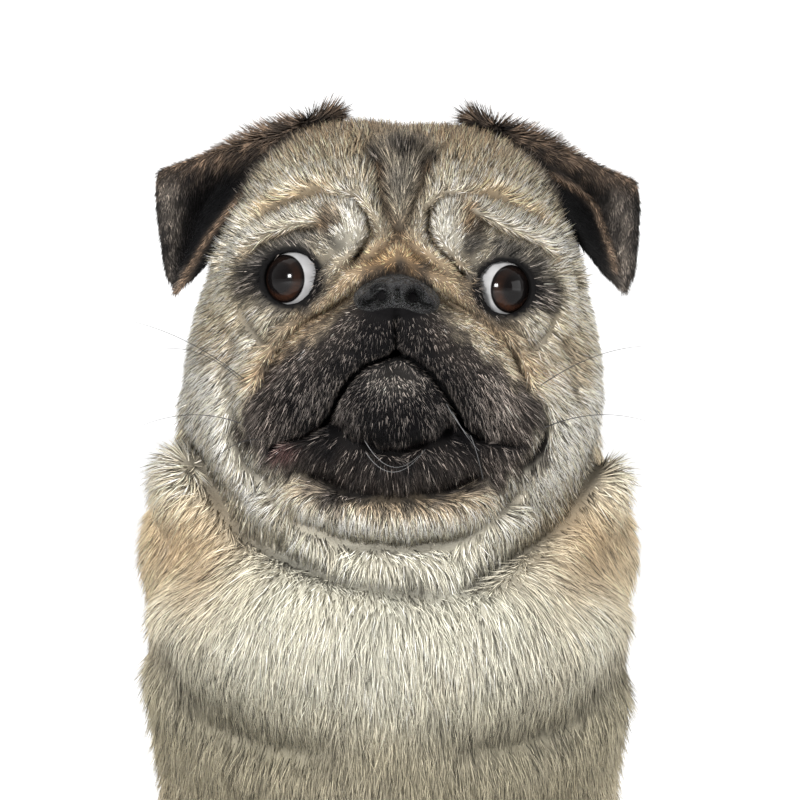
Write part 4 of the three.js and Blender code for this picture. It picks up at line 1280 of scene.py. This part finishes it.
def ear_fur(ear, roots, normals, u, v, uvs):
    """Short hair that lies towards the tip, and stands up in a fringe on the ridge near the head."""
    count = len(roots)
    here = from_head(ear_point(ear, u, v))
    ahead = from_head(ear_point(ear, u, v + 0.02)) - here
    inward = from_head(ear_point(ear, u - 0.02, v)) - here
    inner_end = (1 - smooth(u, 0.02, 0.2)) * (1 - smooth(v, 0.5, 0.6))
    ahead = ahead * (1 - inner_end)[:, None] + inward * (1.6 * inner_end)[:, None]
    fringe = np.exp(-(((v - 0.45) / 0.12) ** 2)) * (1 - smooth(u, 0.35, 0.8))
    length = (3.2 + 5.5 * fringe) * rng.uniform(0.7, 1.25, count)
    lift = np.radians(18 + 32 * fringe + rng.normal(0, 6, count))
    tint = ear_colour(ear, to_head(roots), v) * rng.normal(1.1, 0.45, count).clip(0.3, 2.4)[:, None]
    radius = 0.13 + 0.01 * length
    ways = along_skin(ahead, normals)
    return hair_mesh(f"ear_fur_{ear}", roots, normals, ways, length, radius, lift, tint, tint * 1.2, uvs)


def ear_piece(ear):
    points, tris, u, v = ear_mesh(ear)
    placed = from_head(points)
    leaf = make_mesh(f"ear_leaf_{ear}", placed, tris)
    # The leaf is painted darker than its fur: painted shade between the hairs
    set_colour(leaf, ear_colour(ear, points, v) * 0.7)
    leaf_uv = unwrap(leaf).reshape(-1, 3, 2)
    dress(leaf, HIDE, "ear_coat", f"ear_{ear}")
    weights = smooth(v[tris].mean(1), 0.15, 0.3) + 0.05
    pick, shares = sample(placed, tris, weights, detail(*EAR_HAIRS))
    corners = tris[pick]
    normals = unit(mixed(vertex_normals(leaf)[corners], shares))
    roots, uvs = mixed(placed[corners], shares), mixed(leaf_uv[pick], shares)
    fur = ear_fur(ear, roots, normals, mixed(u[corners], shares), mixed(v[corners], shares), uvs)
    dress(fur, COAT, "ear_coat")


for ear in EARS:
    ear_piece(ear)

# Claws: cones bent down, each set in a toe
CLAW_LENGTH = 10.8
CLAW_HEIGHT = 8.6
CLAW_TILT = 0.12
TOES = ((-13, -30), (-4.6, -35), (4.6, -35), (13, -30))


def claw(name, toe, node, side):
    rings, spokes = 9, 14
    t = np.linspace(0, 1, rings)[:, None]
    turn = np.linspace(0, 2 * math.pi, spokes, endpoint=False)[None]
    radius_here = 2.45 * (1 - t) ** 0.75 + 0.12
    x = radius_here * np.cos(turn) * 0.85
    y = (0.5 - t) * CLAW_LENGTH + 0 * turn
    z = radius_here * np.sin(turn) - 2.6 * t * t + y * math.sin(CLAW_TILT) * 0.6
    points = np.stack([side * (x + toe[0]), y * math.cos(CLAW_TILT) + toe[1], z + CLAW_HEIGHT], -1)
    ends = points[[0, -1]].mean(1)
    tris = closed_tube(np.arange(rings * spokes).reshape(rings, spokes))
    if side < 0:
        tris = tris[:, ::-1]
    obj = make_mesh(name, np.concatenate([points.reshape(-1, 3), ends]), tris)
    dress(obj, HORN, "claw", node)


for foot, (px, py) in (("front", FOREPAW), ("hind", HINDPAW)):
    for i, (dx, dy) in enumerate(TOES):
        for side_name, side in (("left", 1), ("right", -1)):
            toe_name = f"{foot}_{i + 1}_{side_name}"
            claw(f"horn_{toe_name}", (px + dx, py + dy), f"claw_{toe_name}", side)


# Tail, the same winding as the solid: a coil that tightens as it moves to the dog's right
TAIL_CENTRE = (0, 234, 150)
TAIL_RADII = (23, 11)
TAIL_START, TAIL_SWEEP = -84, 509
TAIL_SIDEWAYS = -36
TAIL_CAP = 0.03


def tail_point(t):
    t = np.asarray(t)[..., None]
    turn = np.radians(TAIL_START + t * TAIL_SWEEP)
    radius_here = TAIL_RADII[0] + t * (TAIL_RADII[1] - TAIL_RADII[0]) + np.exp(-6.5 * t) * 26
    x = TAIL_SIDEWAYS * t * np.minimum(1, 0.45 + t)
    y = TAIL_CENTRE[1] + radius_here * np.cos(turn)
    return np.concatenate([x, y, TAIL_CENTRE[2] + radius_here * np.sin(turn)], -1)


def tail_way(t):
    return tail_point(t + 0.002) - tail_point(t - 0.002)


def tail_colour(p):
    tan = np.clip(0.3 + 0.25 * value_noise(p, 12, 51), 0, 1)
    return toward(np.tile(FAWN, (len(p), 1)), TAN, tan) / 255


def tail_mesh():
    """A tapering tube with round ends, with how far along the tail each vertex lies."""
    spokes = detail(40, 24)
    s = np.linspace(-TAIL_CAP, 1 + TAIL_CAP, detail(130, 70))
    t = np.clip(s, 0, 1)
    ahead = unit(tail_way(t))
    here = tail_point(t) + ahead * ((s - t) * 300)[:, None]
    side = unit(np.array([1.0, 0, 0]) - ahead[:, :1] * ahead)
    up = np.cross(side, ahead)
    r = 13.5 - 3 * t - 5 * t**3 - 2.6
    r = r * np.sqrt(np.clip(1 - ((s - t) / (TAIL_CAP + 0.001)) ** 2, 0.02, 1))
    turn = np.linspace(0, 2 * math.pi, spokes, endpoint=False)
    ring = np.cos(turn)[None, :, None] * side[:, None] + np.sin(turn)[None, :, None] * up[:, None]
    points = (here[:, None] + ring * r[:, None, None]).reshape(-1, 3)
    tris = closed_tube(np.arange(len(points)).reshape(len(t), spokes))
    points = np.concatenate([points, here[[0, -1]]])
    return points, facing_out(points, tris), np.concatenate([np.repeat(t, spokes), [0, 1]])


def tail_piece():
    points, tris, t = tail_mesh()
    obj = make_mesh("tail_skin", points, tris)
    # The tail's skin is painted darker than its fur: painted shade between the hairs
    set_colour(obj, tail_colour(points) * 0.8)
    uv = unwrap(obj).reshape(-1, 3, 2)
    dress(obj, HIDE, "coat", "tail")
    count = detail(*TAIL_HAIRS)
    pick, shares = sample(points, tris, np.ones(len(tris)), count)
    corners = tris[pick]
    roots = mixed(points[corners], shares)
    normals = unit(mixed(vertex_normals(obj)[corners], shares))
    ways = along_skin(tail_way(t[corners][:, 0]), normals)
    length = 10 * rng.uniform(0.7, 1.2, count)
    tint = tail_colour(roots) * rng.normal(1, 0.12, count)[:, None]
    lift = np.radians(rng.normal(22, 6, count))
    radius = 0.16 + 0.02 * length
    uvs = mixed(uv[pick], shares)
    fur = hair_mesh("tail_fur", roots, normals, ways, length, radius, lift, tint, tint * 1.06, uvs, bent=True)
    dress(fur, COAT, "coat")


tail_piece()

# Whiskers: start and end in the photograph, their depths in head millimetres, and how far the middle rises.
# The long ones on the cheeks come first, then the short pale ones of the chin and one over the eye.
WHISKERS = [
    ((262, 395), (125, 320), -52, -60, 4),
    ((258, 400), (155, 350), -50, -52, 6),
    ((255, 430), (130, 430), -50, -46, 5),
    ((262, 440), (205, 468), -50, -56, 3),
    ((535, 390), (657, 346), -50, -58, 4),
    ((540, 430), (656, 424), -50, -48, 4),
    ((452, 412), (478, 450), -70, -78, -1),
    ((446, 404), (472, 440), -70, -80, -1),
    ((470, 435), (482, 478), -66, -74, 1),
    ((365, 440), (418, 455), -70, -78, -6),
    ((366, 452), (425, 448), -69, -78, -7),
    ((320, 240), (322, 160), -52, -62, 2),
]
LONG_WHISKERS = 6


def whisker_tube(a, b, depth_a, depth_b, rise, thickness):
    """Rings of a thin curved tube that tapers to its tip."""
    xa, za = front(*a)
    xb, zb = front(*b)
    start, end = np.array([xa, depth_a, za]), np.array([xb, depth_b, zb])
    s = np.linspace(0, 1, 15)[:, None]
    line = start + (end - start) * s + np.array([0, 0, rise]) * (4 * s * (1 - s))
    ahead = unit(np.gradient(line, axis=0))
    one = unit(np.cross(ahead, [0.0, 1.0, 0.02]))
    two = np.cross(ahead, one)
    turn = (2 * math.pi * np.arange(4) / 4)[None, :, None]
    ring = np.cos(turn) * one[:, None] + np.sin(turn) * two[:, None]
    return line[:, None] + ring * (thickness * (1 - s) + 0.03)[:, None]


def whisker_piece():
    points, faces, shades = [], [], []
    for i, whisker in enumerate(WHISKERS):
        thickness, tone = (0.15, 50) if i < LONG_WHISKERS else (0.07, 105)
        tube = whisker_tube(*whisker, thickness)
        grid = i * tube[..., 0].size + np.arange(tube[..., 0].size).reshape(tube.shape[:2])
        faces += [ring_quads(grid), grid[[0]][:, ::-1], grid[[-1]]]
        points.append(tube.reshape(-1, 3))
        shades.append(np.full((grid.size, 3), tone / 255))
    obj = make_mesh("whiskers", from_head(np.concatenate(points)), np.concatenate(faces))
    set_colour(obj, np.concatenate(shades))
    dress(obj, BRISTLE, "coat")


whisker_piece()


# Floor, light and camera
def pale_floor():
    bpy.ops.mesh.primitive_plane_add(size=60, location=(0, 0, 0))
    floor = bpy.context.object
    floor.name = "floor"
    white = (0.93, 0.93, 0.925)
    mat = material("pale_floor", 0.9, None, white, Emission_Color=(1, 1, 1, 1), Emission_Strength=0.3)
    floor.data.materials.append(mat)
    floor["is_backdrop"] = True


def studio(scene):
    """Soft light from all round, brighter from behind and above than from in front."""
    world = bpy.data.worlds.new("studio")
    scene.world = world
    world.use_nodes = True
    nodes, links = world.node_tree.nodes, world.node_tree.links
    backdrop = nodes["Background"]
    backdrop.inputs["Color"].default_value = (1, 1, 1, 1)
    direction = nodes.new("ShaderNodeTexCoord")
    parts = nodes.new("ShaderNodeSeparateXYZ")
    lean = nodes.new("ShaderNodeMath")
    lean.operation = "MULTIPLY_ADD"
    lean.inputs[1].default_value = 0.4
    bright = nodes.new("ShaderNodeMapRange")
    for key, value in (("From Min", -0.7), ("From Max", 0.6), ("To Min", 0.10), ("To Max", 1.25)):
        bright.inputs[key].default_value = value
    links.new(direction.outputs["Generated"], parts.inputs["Vector"])
    links.new(parts.outputs["Z"], lean.inputs[0])
    links.new(parts.outputs["Y"], lean.inputs[2])
    links.new(lean.outputs["Value"], bright.inputs["Value"])
    links.new(bright.outputs["Result"], backdrop.inputs["Strength"])


def softbox(scene, name, place, target, size, energy):
    light = bpy.data.lights.new(name, "AREA")
    light.shape = "SQUARE"
    light.size = size
    light.energy = energy
    obj = bpy.data.objects.new(name, light)
    obj.location = place
    obj.rotation_euler = (Vector(target) - Vector(place)).to_track_quat("-Z", "Y").to_euler()
    scene.collection.objects.link(obj)


def camera_ahead(scene):
    """A level camera in front, with the photograph's width on the plane of the face."""
    data = bpy.data.cameras.new("camera")
    data.sensor_width = 36
    data.lens = data.sensor_width * FACE_DISTANCE / PHOTO_WIDTH
    camera = bpy.data.objects.new("camera", data)
    camera.location = metres(CAMERA_PLACE)
    camera.rotation_euler = (math.radians(90), 0, 0)
    scene.collection.objects.link(camera)
    scene.camera = camera


scene = bpy.context.scene
pale_floor()
studio(scene)
softbox(scene, "key_light", (-0.55, -1.8, 0.66), (0, -0.1, 0.25), 0.34, 56)
softbox(scene, "fill_light", (2.2, -1.2, 0.5), (0, -0.1, 0.2), 1.8, 40)
softbox(scene, "top_light", (-0.3, -0.2, 1.9), (0, 0, 0.3), 1.2, 7)
camera_ahead(scene)
scene.view_settings.view_transform = "Standard"

last_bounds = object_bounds()
boxes = [[list(map(float, corner)) for corner in box] for box in (first_bounds, last_bounds)]
